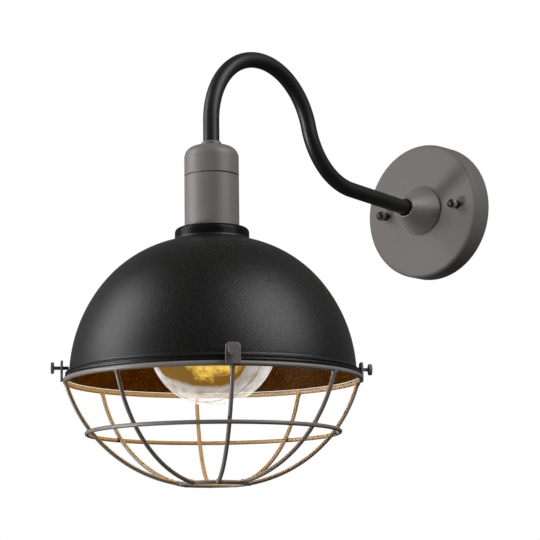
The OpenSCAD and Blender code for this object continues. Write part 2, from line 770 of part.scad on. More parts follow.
// The dome and its neck, without the rim
module dome_section() difference() {
    union() {
        under_dome(0);
        neck_corner();
    }
    translate([foot_cx, foot_cz]) circle(neck_foot_r + band_h);
    under_dome(shade_wall);
    translate([0, dome_top]) square([holder_r + thread_gap, 2 * shade_neck_h]);
}

// The rolled rim: a hollow curve out to a lip, a groove under the lip and a bead
module shade_section() difference() {
    union() {
        dome_section();
        translate([rim_inner_r, -rim_h]) square([bead_r - rim_inner_r, cove_cz + rim_h]);
        translate([rim_inner_r, bead_z]) square([lip_r - rim_inner_r, cove_cz - bead_z]);
        translate([bead_r, bead_z]) circle(rim_bead_r);
    }
    translate([cove_cx, cove_cz]) circle(rim_cove_r);
    translate([lip_r, groove_z]) circle(rim_groove_r);
}

module shade() color(BLACK) on_rim() rotate_extrude($fn = 144) shade_section();

// Ring of round wire, and the groove that it leaves in a wire welded to it
module wire_ring(r, wire_r) rotate_extrude($fn = 144) translate([r, 0]) circle(wire_r);

module cage_top_ring() color(GREY) on_cage() wire_ring(cage_r, top_wire_r);
module cage_mid_ring() color(GREY) on_cage() translate([0, 0, -mid_ring_drop])
    wire_ring(mid_ring_r, rib_r);
module cage_bottom_ring() color(GREY) on_cage() translate([0, 0, -cage_h])
    wire_ring(cage_bottom_r, rib_r);

// One rib: a single curve whose ends are shaped to the top and the bottom ring
module cage_rib(i) color(GREY) on_cage() difference() {
    rotate([0, 0, cage_turn + (i - 1) * 360 / rib_count])
        translate([rib_cx, 0, rib_cz])
            rotate([90, 0, 0])
                rotate([0, 0, rib_foot_angle])
                    rotate_extrude(angle = rib_top_angle - rib_foot_angle)
                        translate([rib_curve_r, 0]) circle(rib_r);
    wire_ring(cage_r, top_wire_r + touch_gap);
    translate([0, 0, -cage_h]) wire_ring(cage_bottom_r, rib_r + touch_gap);
}

// One tab: a flat plate welded upright to the outside of the top ring
module cage_tab(i) color(GREY) on_cage()
    rotate([0, 0, cage_turn + (i - 1) * 360 / tab_count])
        translate([tab_inner, 0, -tab_foot])
            rotate([90, 0, 90])
                linear_extrude(tab_t) difference() {
                    union() {
                        translate([-tab_w / 2, 0]) square([tab_w, tab_h - tab_corner_r]);
                        translate([-tab_w / 2 + tab_corner_r, 0]) square([tab_w - 2 * tab_corner_r, tab_h]);
                        for (side = [-1, 1])
                            translate([side * (tab_w / 2 - tab_corner_r), tab_h - tab_corner_r])
                                circle(tab_corner_r);
                    }
                    translate([0, thumb_z - cage_z + tab_foot]) circle(thumb_r + slide_gap);
                }

// One thumbscrew: its tip stands just off the hollow curve above the rim's lip
module thumbscrew(i) color(GREY) on_lamp()
    rotate([0, 0, cage_turn + (i - 1) * 360 / tab_count])
        translate([0, 0, thumb_z])
            rotate([0, 90, 0]) {
                translate([0, 0, thumb_tip])
                    cylinder(r1 = thumb_r - thumb_chamfer, r2 = thumb_r, h = thumb_chamfer);
                translate([0, 0, thumb_tip + thumb_chamfer])
                    cylinder(r = thumb_r, h = thumb_head - thumb_tip - thumb_chamfer);
                translate([0, 0, thumb_head]) thumb_head_shape();
            }

module thumb_head_shape() {
    face_d = thumb_head_d - 2 * thumb_edge;
    cylinder(d1 = face_d, d2 = thumb_head_d, h = thumb_edge);
    translate([0, 0, thumb_edge]) cylinder(d = thumb_head_d, h = thumb_head_t - 2 * thumb_edge);
    translate([0, 0, thumb_head_t - thumb_edge]) cylinder(d1 = thumb_head_d, d2 = face_d, h = thumb_edge);
}

// Half profile of the glass, drawn in by o all round
module glass_half(o) right_half() {
    translate([0, globe_z]) circle(globe_r - o);
    difference() {
        polygon([[0, globe_z], [blend_x, blend_z], [0, blend_z]]);
        translate([blend_x, blend_z]) circle(neck_blend_r + o);
    }
    translate([0, blend_z - 0.01])
        rounded_half(bulb_neck_r - o, bulb_neck_top - blend_z + 0.01 - o, bulb_neck_r - stub_r - o);
    translate([0, blend_z]) square([stub_r - o, stub_top - blend_z]);
}

module bulb_glass() color(GLASS) on_lamp() rotate_extrude($fn = 144) difference() {
    glass_half(0);
    glass_half(glass_wall);
}

module bulb_base() color(BRASS) on_lamp() rotate_extrude() {
    translate([base_r - base_wall, base_foot]) square([base_wall, base_shoulder - base_foot]);
    translate([base_r / 2, base_shoulder - base_wall]) square([base_r / 2, base_wall]);
}

module bulb_insulator() color("#1b1b1b") on_lamp() translate([0, 0, base_shoulder])
    cylinder(r1 = base_r - shell_lip, r2 = tip_r + base_wall, h = insulator_h);

module bulb_contact() color(STEEL) on_lamp() translate([0, 0, base_shoulder + insulator_h])
    cylinder(r1 = tip_r, r2 = tip_r * 0.8, h = tip_h);

// The stem closes the neck, and its rod carries the filament
module bulb_stem() color(GLASS) on_lamp() {
    translate([0, 0, stem_top]) cylinder(r = stub_r - glass_wall - touch_gap, h = 1.5 * glass_wall);
    translate([0, 0, stem_foot]) cylinder(r = stem_r, h = stem_top - stem_foot);
    translate([0, 0, filament_base - rod_foot_l])
        cylinder(r = stem_rod_r, h = stem_foot - filament_base + rod_foot_l);
}

// Upright wires between two rings that stand off the stem's rod on spokes
module bulb_filament() color("#ffcf70") on_lamp() {
    filament_ring(filament_top);
    filament_ring(filament_base);
    for (k = [1:filament_wires]) rotate([0, 0, k * 360 / filament_wires])
        translate([filament_ring_r, 0, filament_base])
            cylinder(d = filament_d, h = filament_top - filament_base);
}

module filament_ring(z) translate([0, 0, z]) {
    wire_ring(filament_ring_r, filament_ring_wire_r);
    for (k = [1:2:filament_wires])
        rotate([0, 90, (k + 0.5) * 360 / filament_wires])
            translate([0, 0, stem_rod_r + touch_gap])
                cylinder(d = filament_d, h = filament_ring_r - stem_rod_r - touch_gap);
}

wall_plate();
mounting_strap();
mounting_studs();
stud_nuts();
ball_nut_left();
ball_nut_right();
arm_cone();
arm_washer();
arm_locknut();
ground_screw();
ground_lead();
lead_live();
lead_neutral();
wire_connectors();
gooseneck_arm();
cap_collar();
collar_grub_screw();
socket_cap();
cap_nut();
lampholder_bracket();
bracket_screws();
socket_sleeve();
lampholder_body();
terminal_screws();
lampholder_shell();
lampholder_contact();
shade_ring();
shade();
cage_top_ring();
cage_mid_ring();
cage_bottom_ring();
for (i = [1:rib_count]) cage_rib(i);
for (i = [1:tab_count]) cage_tab(i);
for (i = [1:tab_count]) thumbscrew(i);
bulb_glass();
bulb_base();
bulb_insulator();
bulb_contact();
bulb_stem();
bulb_filament();
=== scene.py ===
# %% [markdown]
# # A gooseneck wall light with a wire cage
#
# The light is a round wall plate, a bent tube arm, a socket housing, a spun dome shade and a
# wire cage round a clear globe bulb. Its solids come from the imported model, which is the frame.
# Here every piece that can be seen gets its finished surface, worked out with numpy, and a
# material. The hidden pieces keep their solids and only get materials.

# %% Load the frame
import math

import bpy
import numpy as np
from mathutils import Matrix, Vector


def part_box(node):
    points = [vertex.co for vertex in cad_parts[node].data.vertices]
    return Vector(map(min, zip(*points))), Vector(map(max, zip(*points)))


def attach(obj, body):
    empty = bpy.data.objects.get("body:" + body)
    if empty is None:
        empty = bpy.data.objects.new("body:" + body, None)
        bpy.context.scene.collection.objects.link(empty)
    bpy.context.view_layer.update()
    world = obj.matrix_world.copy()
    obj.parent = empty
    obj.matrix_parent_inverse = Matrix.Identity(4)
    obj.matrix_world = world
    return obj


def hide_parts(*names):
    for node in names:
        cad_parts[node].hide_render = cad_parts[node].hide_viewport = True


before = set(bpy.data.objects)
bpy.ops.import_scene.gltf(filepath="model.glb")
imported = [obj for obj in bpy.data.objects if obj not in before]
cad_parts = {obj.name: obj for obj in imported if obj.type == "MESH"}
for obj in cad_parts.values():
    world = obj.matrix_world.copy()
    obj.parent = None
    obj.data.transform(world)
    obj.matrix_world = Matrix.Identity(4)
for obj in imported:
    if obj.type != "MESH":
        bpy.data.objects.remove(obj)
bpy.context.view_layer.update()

# %% [markdown]
# ## Sizes
#
# The frame is in metres, with the wall at y = 0, the lamp hanging out towards -Y and +Z up.
# Lengths are easier to read in millimetres, so each size is written as so many MM. Where the
# frame already knows a size, it is read from the node's box, so a piece can't drift off it.

# %% Sizes shared by the pieces
MM = 0.001


def middle(node):
    """The centre of a node's box, as an array."""
    low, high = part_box(node)
    return (np.array(low) + np.array(high)) / 2


def reach_of(node, axis):
    """Half the width of a node's box along one axis."""
    low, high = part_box(node)
    return (high[axis] - low[axis]) / 2


LAMP = middle("cage_top_ring") * [1, 1, 0]
REACH = -LAMP[1]
PLATE_R = reach_of("wall_plate", 0)
PLATE_FACE = -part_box("wall_plate")[0][1]
TUBE_R = reach_of("gooseneck_arm", 0)
HOUSING_R = reach_of("socket_cap", 0)
SEAM_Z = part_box("socket_cap")[0][2]
CAP_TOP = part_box("socket_cap")[1][2]
SLEEVE_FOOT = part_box("socket_sleeve")[0][2]
RIM_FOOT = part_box("shade")[0][2]
NECK_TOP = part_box("shade")[1][2]
print("lamp axis y = %.1f mm, plate radius %.1f mm" % (LAMP[1] / MM, PLATE_R / MM))

# %% [markdown]
# ## From points to a mesh
#
# Almost every piece here is either spun on a lathe or drawn as wire, so two kinds of surface are
# enough: a profile that turns about an axis, and a ring that travels along a path. Both give a
# grid of points, rows by columns, and one function turns any such grid into a closed mesh.
# Working on whole arrays keeps the formulas in view and the script quick.

# %% A closed mesh from a grid of points


def grid_faces(rows, columns, loop):
    """Quads of a grid whose columns close on themselves, and whose rows do too if loop is true.

    The corners of quad (i, j) are (i, j), (i, j + 1), (i + 1, j + 1) and (i + 1, j)."""
    i, j = np.meshgrid(np.arange(rows if loop else rows - 1), np.arange(columns), indexing="ij")
    up, on = (i + 1) % rows, (j + 1) % columns
    corners = [i * columns + j, i * columns + on, up * columns + on, up * columns + j]
    return np.stack(corners, axis=-1).reshape(-1, 4)


def cap_faces(ring, pole):
    """Triangles from each side of a ring of corners to one pole."""
    return np.column_stack([ring, np.roll(ring, -1), np.full(len(ring), pole)])


def signed_volume(points, faces):
    """Volume by the divergence theorem: a sixth of a . (b x c), summed over the triangles."""
    a, b, c = points[faces[:, 0]], points[faces[:, 1]], points[faces[:, 2]]
    total = np.einsum("ij,ij->", a, np.cross(b, c))
    if faces.shape[1] == 4:
        d = points[faces[:, 3]]
        total += np.einsum("ij,ij->", a, np.cross(c, d))
    return total / 6


def skin(name, grid, loop=False, sharp=32):
    """A closed mesh object from a grid of points (rows, columns, 3), facing outwards.

    Where the rows don't close into a loop, the first and the last row are closed by a pole at
    their centre. Edges that turn by more than sharp degrees stay crisp."""
    rows, columns = grid.shape[:2]
    points = grid.reshape(-1, 3)
    quads = grid_faces(rows, columns, loop)
    tris = np.zeros((0, 3), dtype=int)
    if not loop:
        poles = np.array([grid[0].mean(axis=0), grid[-1].mean(axis=0)])
        count = len(points)
        first, last = np.arange(columns), np.arange(columns) + (rows - 1) * columns
        tris = np.vstack([cap_faces(first[::-1], count), cap_faces(last, count + 1)])
        points = np.vstack([points, poles])
    volume = signed_volume(points, quads)
    if len(tris):
        volume += signed_volume(points, tris)
    if volume < 0:
        quads, tris = quads[:, ::-1], tris[:, ::-1]
    mesh = bpy.data.meshes.new(name)
    mesh.from_pydata(points.tolist(), [], quads.tolist() + tris.tolist())
    mesh.shade_smooth()
    mesh.set_sharp_from_angle(angle=math.radians(sharp))
    piece = bpy.data.objects.new(name, mesh)
    bpy.context.scene.collection.objects.link(piece)
    return piece


# %% Profiles


def arc(cx, cy, radius, start, end, steps=12):
    """Points on a circle: centre + radius (cos a, sin a), for a from start to end degrees."""
    a = np.radians(np.linspace(start, end, steps))
    return np.column_stack([cx + radius * np.cos(a), cy + radius * np.sin(a)])


def joined(*parts):
    """Parts of a profile in one line, without the points that repeat."""
    line = np.vstack([np.atleast_2d(part) for part in parts])
    step = np.linalg.norm(np.diff(line, axis=0), axis=1)
    return line[np.concatenate([[True], step > 1e-7])]


def eased(corners, cuts, steps=5, rest=1.8):
    """A closed profile through corners (x, y), each one eased off by its own cut.

    Between the points that lie one cut before and one cut after a corner, the curve is the
    parabola (1 - t)^2 p + 2 t (1 - t) corner + t^2 q. One more point on each side, rest times
    as far off, keeps the flat beside it flat when it is shaded."""
    corners, cuts = np.asarray(corners, float), np.asarray(cuts, float)[:, None]
    back, ahead = np.roll(corners, 1, axis=0) - corners, np.roll(corners, -1, axis=0) - corners
    back /= np.linalg.norm(back, axis=1, keepdims=True)
    ahead /= np.linalg.norm(ahead, axis=1, keepdims=True)
    t = np.linspace(0, 1, steps)[None, :, None]
    p, q = (corners + cuts * back)[:, None], (corners + cuts * ahead)[:, None]
    curve = (1 - t) ** 2 * p + 2 * t * (1 - t) * corners[:, None] + t**2 * q
    before = (corners + rest * cuts * back)[:, None]
    after = (corners + rest * cuts * ahead)[:, None]
    return joined(np.concatenate([before, curve, after], axis=1).reshape(-1, 2))


# %% Spun and drawn surfaces


def spun(profile, around=160):
    """A profile (radius, height) turned about +Z: x = r cos t, y = r sin t, z = height."""
    t = np.linspace(0, 2 * np.pi, around, endpoint=False)
    r, h = profile[:, :1], profile[:, 1:]
    return np.stack([r * np.cos(t), r * np.sin(t), h + 0 * t], axis=-1)


def drawn(path, radius, side, around=20, loop=False):
    """A ring that travels along a flat path: p + r (cos t n + sin t b).

    b is the constant side direction, square to the path's plane, and n = b x tangent."""
    if loop:
        ahead = np.roll(path, -1, axis=0) - np.roll(path, 1, axis=0)
    else:
        ahead = np.gradient(path, axis=0)
    ahead /= np.linalg.norm(ahead, axis=1, keepdims=True)
    side = np.asarray(side, float)
    across = np.cross(side, ahead)[:, None]
    t = np.linspace(0, 2 * np.pi, around, endpoint=False)[None, :, None]
    size = np.broadcast_to(radius, len(path))[:, None, None]
    return path[:, None] + size * (np.cos(t) * across + np.sin(t) * side)


def placed(grid, matrix):
    """A grid of points moved by a 4 x 4 matrix."""
    m = np.array(matrix)
    return grid @ m[:3, :3].T + m[:3, 3]


ON_LAMP = Matrix.Translation(LAMP)
ON_WALL = Matrix.Rotation(math.radians(90), 4, "X")


def dress(piece, body, slot, nodes, *finishes):
    """Lets a piece ride on a body in place of some nodes, and gives it its materials."""
    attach(piece, body)
    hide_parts(*nodes)
    for finish in finishes:
        piece.data.materials.append(finish)
    print("%-18s %6d faces" % (piece.name, len(piece.data.polygons)))
    return piece


def paint(piece, chosen, index=1):
    """Gives the faces whose centres (x, y, z) are chosen another of the piece's finishes."""
    centres = np.zeros(3 * len(piece.data.polygons))
    piece.data.polygons.foreach_get("center", centres)
    picked = chosen(centres.reshape(-1, 3))
    piece.data.polygons.foreach_set("material_index", np.where(picked, index, 0).astype(np.int32))


# %% [markdown]
# ## Writing materials as sums
#
# A node material is arithmetic on numbers that change over a surface. A small class wraps a
# socket, so that 1 - mask or grain * 0.2 adds the Math node that works it out, and one method
# adds every other kind of node. Patterns are placed by Object coordinates, which are metres
# here, so a scale of 900 means about one grain per millimetre.

# %% A value that adds its own Math nodes


class Value:
    """One output of a material's nodes."""

    def __init__(self, finish, socket):
        self.finish, self.socket = finish, socket

    def math(self, operation, *others):
        sockets = dict(enumerate((self, *others)))
        return self.finish.add("ShaderNodeMath", {"operation": operation}, sockets)

    def __add__(self, other):
        return self.math("ADD", other)

    def __mul__(self, other):
        return self.math("MULTIPLY", other)

    def __sub__(self, other):
        return self.math("SUBTRACT", other)

    def __rsub__(self, other):
        return self * -1 + other

    __radd__, __rmul__ = __add__, __mul__


# %% A material and its nodes


class Finish:
    """A material under construction."""

    def __init__(self, name):
        self.material = bpy.data.materials.new(name)
        self.material.use_nodes = True
        self.tree = self.material.node_tree
        self.tree.nodes.clear()
        self.place = self.add("ShaderNodeTexCoord", out="Object")

    def add(self, kind, settings=(), sockets=(), out=0):
        """Adds a node: its settings first, then its sockets' values or links."""
        node = self.tree.nodes.new(kind)
        for key, value in dict(settings).items():
            setattr(node, key, value)
        for key, value in dict(sockets).items():
            if isinstance(value, Value):
                self.tree.links.new(value.socket, node.inputs[key])
            else:
                node.inputs[key].default_value = value
        return Value(self, node.outputs[out])

    def grain(self, scale, detail=2.0, rough=0.5):
        """Soft noise about 0.5, with scale grains a metre."""
        sockets = {"Vector": self.place, "Scale": scale, "Detail": detail, "Roughness": rough}
        return self.add("ShaderNodeTexNoise", sockets=sockets)

    def specks(self, scale):
        """A random shade from 0 to 1 for each cell, with scale cells a metre."""
        sockets = {"Vector": self.place, "Scale": scale}
        cell = self.add("ShaderNodeTexVoronoi", sockets=sockets, out="Color")
        return self.part(cell, "X")

    def part(self, vector, axis):
        """One part of a vector or colour."""
        return self.add("ShaderNodeSeparateXYZ", sockets={0: vector}, out=axis)

    def fade(self, value, low, high):
        """0 where value is below low, 1 above high, and even in between."""
        sockets = {"Value": value, "From Min": low, "From Max": high}
        return self.add("ShaderNodeMapRange", {"clamp": True}, sockets)

    def blend(self, mask, a, b):
        """Colour a where mask is 0 and colour b where it is 1."""
        colors = {key: color if isinstance(color, Value) else (*color, 1) for key, color in ((6, a), (7, b))}
        return self.add("ShaderNodeMix", {"data_type": "RGBA"}, {0: mask, **colors}, out=2)

    def relief(self, height, distance, strength=1.0):
        """A normal that shows a height from 0 to 1 as bumps, distance metres high."""
        sockets = {"Height": height, "Distance": distance, "Strength": strength}
        return self.add("ShaderNodeBump", sockets=sockets)

    def done(self, **sockets):
        """Joins a Principled shader to the output. Names have _ in place of spaces."""
        named = {key.replace("_", " "): value for key, value in sockets.items()}
        shader = self.add("ShaderNodeBsdfPrincipled", sockets=named)
        end = self.tree.nodes.new("ShaderNodeOutputMaterial")
        self.tree.links.new(shader.socket, end.inputs["Surface"])
        return self.material


# %% [markdown]
# ## The finishes
#
# The hardware is sprayed a warm dark grey with a satin sheen. Real spray isn't even: it has a
# fine orange peel, a cloudiness a few centimetres wide, and corners where it pulls thin and
# looks a little lighter. One recipe makes four such coats: the housing's, a flatter one for the
# wall plate whose colour is also darkened as painted shade, a paler and smoother one for the
# cage's wires, and the arm's black. The shade has a powder coat, whose grains catch the light one
# by one. A second recipe makes it in a black for the outside, a smoother black for the neck and a
# dark gold for the lining.

# %% Sprayed and powder coats


def thin_edges(finish, low=0.51, high=0.58):
    """1 on corners that stick out, from how far the surface bends there."""
    bend = finish.add("ShaderNodeNewGeometry", out="Pointiness")
    return finish.fade(bend, low, high)


def sprayed(name, color, worn, rough, grain, cloud, sheen, edges=0.35, bump=0.3):
    """Satin spray: orange peel of so many grains a metre, soft clouds and thin edges.

    cloud is how far the clouds shift the colour, worn is the colour of thin edges, edges says how
    much of it shows, and bump is the strength of the orange peel."""
    f = Finish(name)
    clouds = f.grain(26, 2.0)
    peel = f.grain(grain, 2.0, 0.55)
    shade = f.fade(clouds + (peel - 0.5) * 0.25, 0.2, 0.8)
    dark = tuple(c * (1 - cloud) for c in color)
    light = tuple(c * (1 + cloud) for c in color)
    body = f.blend(shade, dark, light)
    edge = thin_edges(f) * f.fade(f.grain(220, 3.0), 0.3, 0.6) * edges
    return f.done(
        Base_Color=f.blend(edge, body, worn),
        Roughness=(shade - 0.5) * 0.06 + (peel - 0.5) * 0.10 + rough,
        Specular_IOR_Level=sheen,
        Normal=f.relief(peel, 0.00002, bump),
    )


GREY = sprayed(
    "hardware_grey", (0.156, 0.141, 0.132), (0.28, 0.26, 0.25),
    rough=0.44, grain=1500, cloud=0.05, sheen=0.42,
)
# Painted shade: the wall plate's grey is the housing's grey made darker, besides its flatter sheen.
PLATE_GREY = sprayed(
    "plate_grey", (0.126, 0.115, 0.107), (0.22, 0.21, 0.20),
    rough=0.5, grain=1500, cloud=0.03, sheen=0.2, edges=0.1,
)
WIRE_GREY = sprayed(
    "wire_grey", (0.172, 0.156, 0.145), (0.23, 0.22, 0.21),
    rough=0.42, grain=700, cloud=0.05, sheen=0.45, edges=0.04, bump=0.06,
)
BLACK = sprayed(
    "arm_black", (0.0060, 0.0063, 0.0058), (0.012, 0.012, 0.012),
    rough=0.42, grain=1900, cloud=0.15, sheen=0.36, edges=0.05, bump=0.1,
)


def powder(name, dark, light, fleck, rough, sheen, bump):
    """Powder coat: grains of about a millimetre, bump metres high, some of which shine."""
    f = Finish(name)
    grains = f.grain(950, 2.0, 0.6)
    flecks = f.fade(f.specks(1300), 0.8, 1.0)
    clouds = f.fade(f.grain(24, 3.0) * 0.4 + grains * 0.6, 0.38, 0.62)
    coat = f.blend(clouds, dark, light)
    return f.done(
        Base_Color=f.blend(flecks * 0.6, coat, fleck),
        Roughness=(grains - 0.5) * 0.3 - flecks * 0.1 + rough,
        Specular_IOR_Level=sheen,
        Normal=f.relief(grains, bump, 0.6),
    )


SHADE_BLACK = powder(
    "shade_powder", (0.0012, 0.0012, 0.0010), (0.0032, 0.0031, 0.0027), (0.035, 0.034, 0.032),
    rough=0.39, sheen=0.35, bump=0.0004,
)
SHADE_NECK = powder(
    "shade_neck_gloss", (0.003, 0.003, 0.003), (0.006, 0.006, 0.006), (0.008, 0.008, 0.008),
    rough=0.3, sheen=0.1, bump=0.00003,
)
SHADE_GOLD = powder(
    "shade_lining", (0.006, 0.0022, 0.0002), (0.019, 0.009, 0.0010), (0.08, 0.044, 0.006),
    rough=0.55, sheen=0.03, bump=0.0003,
)

# %% [markdown]
# ## Metal, porcelain and plastic behind the scenes
#
# Zinc plate is a pale metal whose crystals differ a little in shade. Brass and copper are the
# same recipe in other colours. Porcelain is nearly even, with a smooth glaze, and the wires'
# insulation is a matte plastic with a faint unevenness.

# %% Hidden finishes


def plated(name, low, high, rough):
    """Bare or plated metal whose crystals differ in shade and in gloss."""
    f = Finish(name)
    crystals = f.specks(420) * 0.6 + f.grain(70, 3.0) * 0.4
    return f.done(
        Base_Color=f.blend(crystals, low, high),
        Metallic=1.0,
        Roughness=(crystals - 0.5) * 0.16 + rough,
        Normal=f.relief(f.grain(2600), 0.00003, 0.35),
    )


def moulded(name, color, rough, vary=0.12, alpha=1.0):
    """Plastic, glass or glazed clay: one colour with a faint unevenness."""
    f = Finish(name)
    haze = f.grain(160, 3.0)
    low, high = tuple(c * (1 - vary) for c in color), tuple(min(1, c * (1 + vary)) for c in color)
    return f.done(
        Base_Color=f.blend(haze, low, high),
        Roughness=(haze - 0.5) * 0.2 + rough,
        Alpha=alpha,
        Normal=f.relief(f.grain(960), 0.00003, 0.4),
    )


ZINC = plated("zinc_plate", (0.42, 0.42, 0.41), (0.62, 0.62, 0.60), 0.34)
BRASS = plated("brass", (0.46, 0.30, 0.11), (0.66, 0.46, 0.20), 0.28)
COPPER = plated("bare_copper", (0.56, 0.26, 0.14), (0.74, 0.38, 0.22), 0.32)
GREEN = moulded("green_screw_paint", (0.03, 0.17, 0.045), 0.35)
PORCELAIN = moulded("porcelain", (0.72, 0.69, 0.61), 0.16, 0.06)
BLACK_WIRE = moulded("black_insulation", (0.016, 0.016, 0.016), 0.48)
WHITE_WIRE = moulded("white_insulation", (0.66, 0.66, 0.63), 0.45, 0.06)
CLIP = moulded("connector_plastic", (0.62, 0.30, 0.03), 0.3)
BLACK_GLASS = moulded("base_insulator", (0.012, 0.012, 0.012), 0.14)

# %% [markdown]
# ## Clear glass and a glowing wire
#
# A lit clear bulb shows three zones, and all three are painted into the glass as light that it
# gives off. Face on, the glass is nearly see-through, with a painted amber glow that stands in for
# the filament's light. Towards its outline it mirrors the white room, painted as a milky white,
# with one thin brown line painted where the view through it folds over. Low down it is painted
# white, with a few thin brown threads of painted refraction. The Facing output of a Layer Weight
# is 1 - cosine of the viewing angle, which tells the first two zones apart, and the height tells
# the third. The painted amber doesn't sit in the middle: it leans along one level direction that
# is fixed to the bulb. The glass barely reflects diffuse light, so these colours are painted in as
# emission, and Alpha says how much of what lies behind still shows. Its inner faces and the faces
# seen from behind are nearly invisible, or their haze would add up.

# %% Glass and filament
# Where the glass's painted glow and painted reflections begin and end.
GLOW_LOW, GLOW_HIGH = -0.2310, -0.2250
THREADS_LOW, THREADS_HIGH = -0.237, -0.230
GLOBE_R = reach_of("bulb_glass", 0)
LEAN_X, LEAN_Y = 0.75, 0.66
LEAN = 0.28 / GLOBE_R
AMBER_FULL, AMBER_GONE = 0.37, 0.42
LINE_FROM, LINE_MIDDLE, LINE_TO = 0.60, 0.63, 0.66


def lit_glass(name, clear, edge, glow, veil):
    """Glass with painted light given off as emission: a painted amber glow face on, a painted white
    reflection at its outline and painted white below.

    clear and edge are its Alpha face on and at the outline, and veil is what the amber adds."""
    f = Finish(name)
    facing = f.add("ShaderNodeLayerWeight", sockets={"Blend": 0.5}, out="Facing")
    streaks = f.grain(75, 4.0, 0.65)
    waves = f.grain(24, 2.0)
    across = f.part(f.place, "X") * LEAN_X + (f.part(f.place, "Y") + REACH) * LEAN_Y
    turned = facing + across * LEAN + (waves - 0.5) * 0.10
    height = f.part(f.place, "Z") + (streaks - 0.5) * 0.006 - across * across * 6.0
    # The zone of the painted amber glow: high up and face on.
    amber = f.fade(height, GLOW_LOW, GLOW_HIGH) * (1 - f.fade(turned, AMBER_FULL, AMBER_GONE))
    # Painted glare: the bright middle of the painted amber glow, where the filament shows through.
    painted_glare_core = f.fade(0.42 - facing * 2.2 + (streaks - 0.5) * 1.3, 0.0, 0.42)
    painted_amber_glow = f.blend(painted_glare_core, (0.17, 0.082, 0.005), (1.0, 0.68, 0.10))
    # Painted reflection: the white room mirrored at the glass's outline.
    painted_room_reflection = f.blend(f.fade(streaks, 0.34, 0.56), (0.60, 0.53, 0.49), (0.95, 0.93, 0.90))
    # Painted refraction: the thin brown line where the view through the glass folds over.
    line = f.fade(turned, LINE_FROM, LINE_MIDDLE) * (1 - f.fade(turned, LINE_MIDDLE, LINE_TO)) * 0.75
    # Painted refraction: thin brown threads in the low white.
    painted_refraction_threads = 1 - f.fade((f.grain(60, 1.0) - 0.5).math("ABSOLUTE", 0), 0.0, 0.02)
    line = line + painted_refraction_threads * (1 - f.fade(height, THREADS_LOW, THREADS_HIGH)) * 0.6
    painted_reflection_and_lines = f.blend(line, painted_room_reflection, (0.10, 0.045, 0.02))
    rim = f.fade(facing, 0.2, 0.95)
    behind = f.add("ShaderNodeNewGeometry", out="Backfacing")
    # The painted glow and painted reflections are given off as emission.
    return f.done(
        Base_Color=(0.02, 0.019, 0.018, 1),
        Roughness=(streaks - 0.5) * 0.04 + 0.05,
        Alpha=(rim * (edge - clear) + clear + amber * veil + line * 0.1) * (1 - behind * 0.85),
        Emission_Color=f.blend(amber, painted_reflection_and_lines, painted_amber_glow),
        Emission_Strength=glow,
    )


def glowing(name, deep, bright, strength):
    """A hot wire whose glow ripples between a deep and a bright colour."""
    f = Finish(name)
    ripple = f.fade(f.grain(900, 2.0), 0.35, 0.65)
    return f.done(
        Base_Color=(0.02, 0.012, 0.006, 1),
        Roughness=ripple * 0.1 + 0.4,
        Emission_Color=f.blend(ripple, deep, bright),
        Emission_Strength=strength,
    )


# The globe and the stem carry painted glow and painted reflections in their emission.
CLEAR = lit_glass("globe_glass", 0.26, 0.72, 1.25, 0.58)
CLEAR_INSIDE = moulded("globe_inner_face", (0.02, 0.02, 0.02), 0.1, alpha=0.03)
STEM_GLASS = lit_glass("stem_glass", 0.25, 0.7, 1.0, 0.12)
HOT_WIRE = glowing("hot_wire", (1.0, 0.36, 0.05), (1.0, 0.66, 0.22), 1.3)

# %% [markdown]
# ## The wall plate and its cone
#
# Both are round about the arm's root, so each is one profile of distance from the axis and
# distance from the wall, spun and then turned to face the room. The plate is pressed from
# sheet: it has a broad rounded edge outside, a tighter one inside, and an open back. The cone
# is cast, with a shadow groove at its foot and a deep lip where the tube comes out. The groove
# is too fine for its shadow to show, so its faces are given the arm's black.

# %% Wall plate
PLATE_WALL = 1.5 * MM
PLATE_EDGE = 4.5 * MM
TUBE_GAP = 0.1 * MM
TUBE_HOLE = TUBE_R + TUBE_GAP

plate_profile = joined(
    [TUBE_HOLE, PLATE_FACE],
    [PLATE_R - 1.3 * PLATE_EDGE, PLATE_FACE],
    arc(PLATE_R - PLATE_EDGE, PLATE_FACE - PLATE_EDGE, PLATE_EDGE, 90, 0, 14),
    [PLATE_R, PLATE_FACE - 1.3 * PLATE_EDGE],
    eased(
        [(PLATE_R, 0), (PLATE_R - PLATE_WALL, 0), (PLATE_R, 0.01)],
        [0.3 * MM, 0.3 * MM, 0],
    )[:14],
    [PLATE_R - PLATE_WALL, PLATE_FACE - 1.3 * PLATE_EDGE],
    arc(PLATE_R - PLATE_EDGE, PLATE_FACE - PLATE_EDGE, PLATE_EDGE - PLATE_WALL, 0, 90, 8),
    [TUBE_HOLE, PLATE_FACE - PLATE_WALL],
)
plate = skin("wall_plate_shell", placed(spun(plate_profile, 200), ON_WALL), loop=True)
dress(plate, "fixture", "grey_coat", ["wall_plate"], PLATE_GREY)

# %% Cone
CONE_FOOT_R = reach_of("arm_cone", 0)
CONE_LIP_R = 11 * MM
CONE_END = -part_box("arm_cone")[0][1]
CONE_RECESS = 11 * MM
CONE_GAP = 1.6 * MM
GROOVE = 0.8 * MM

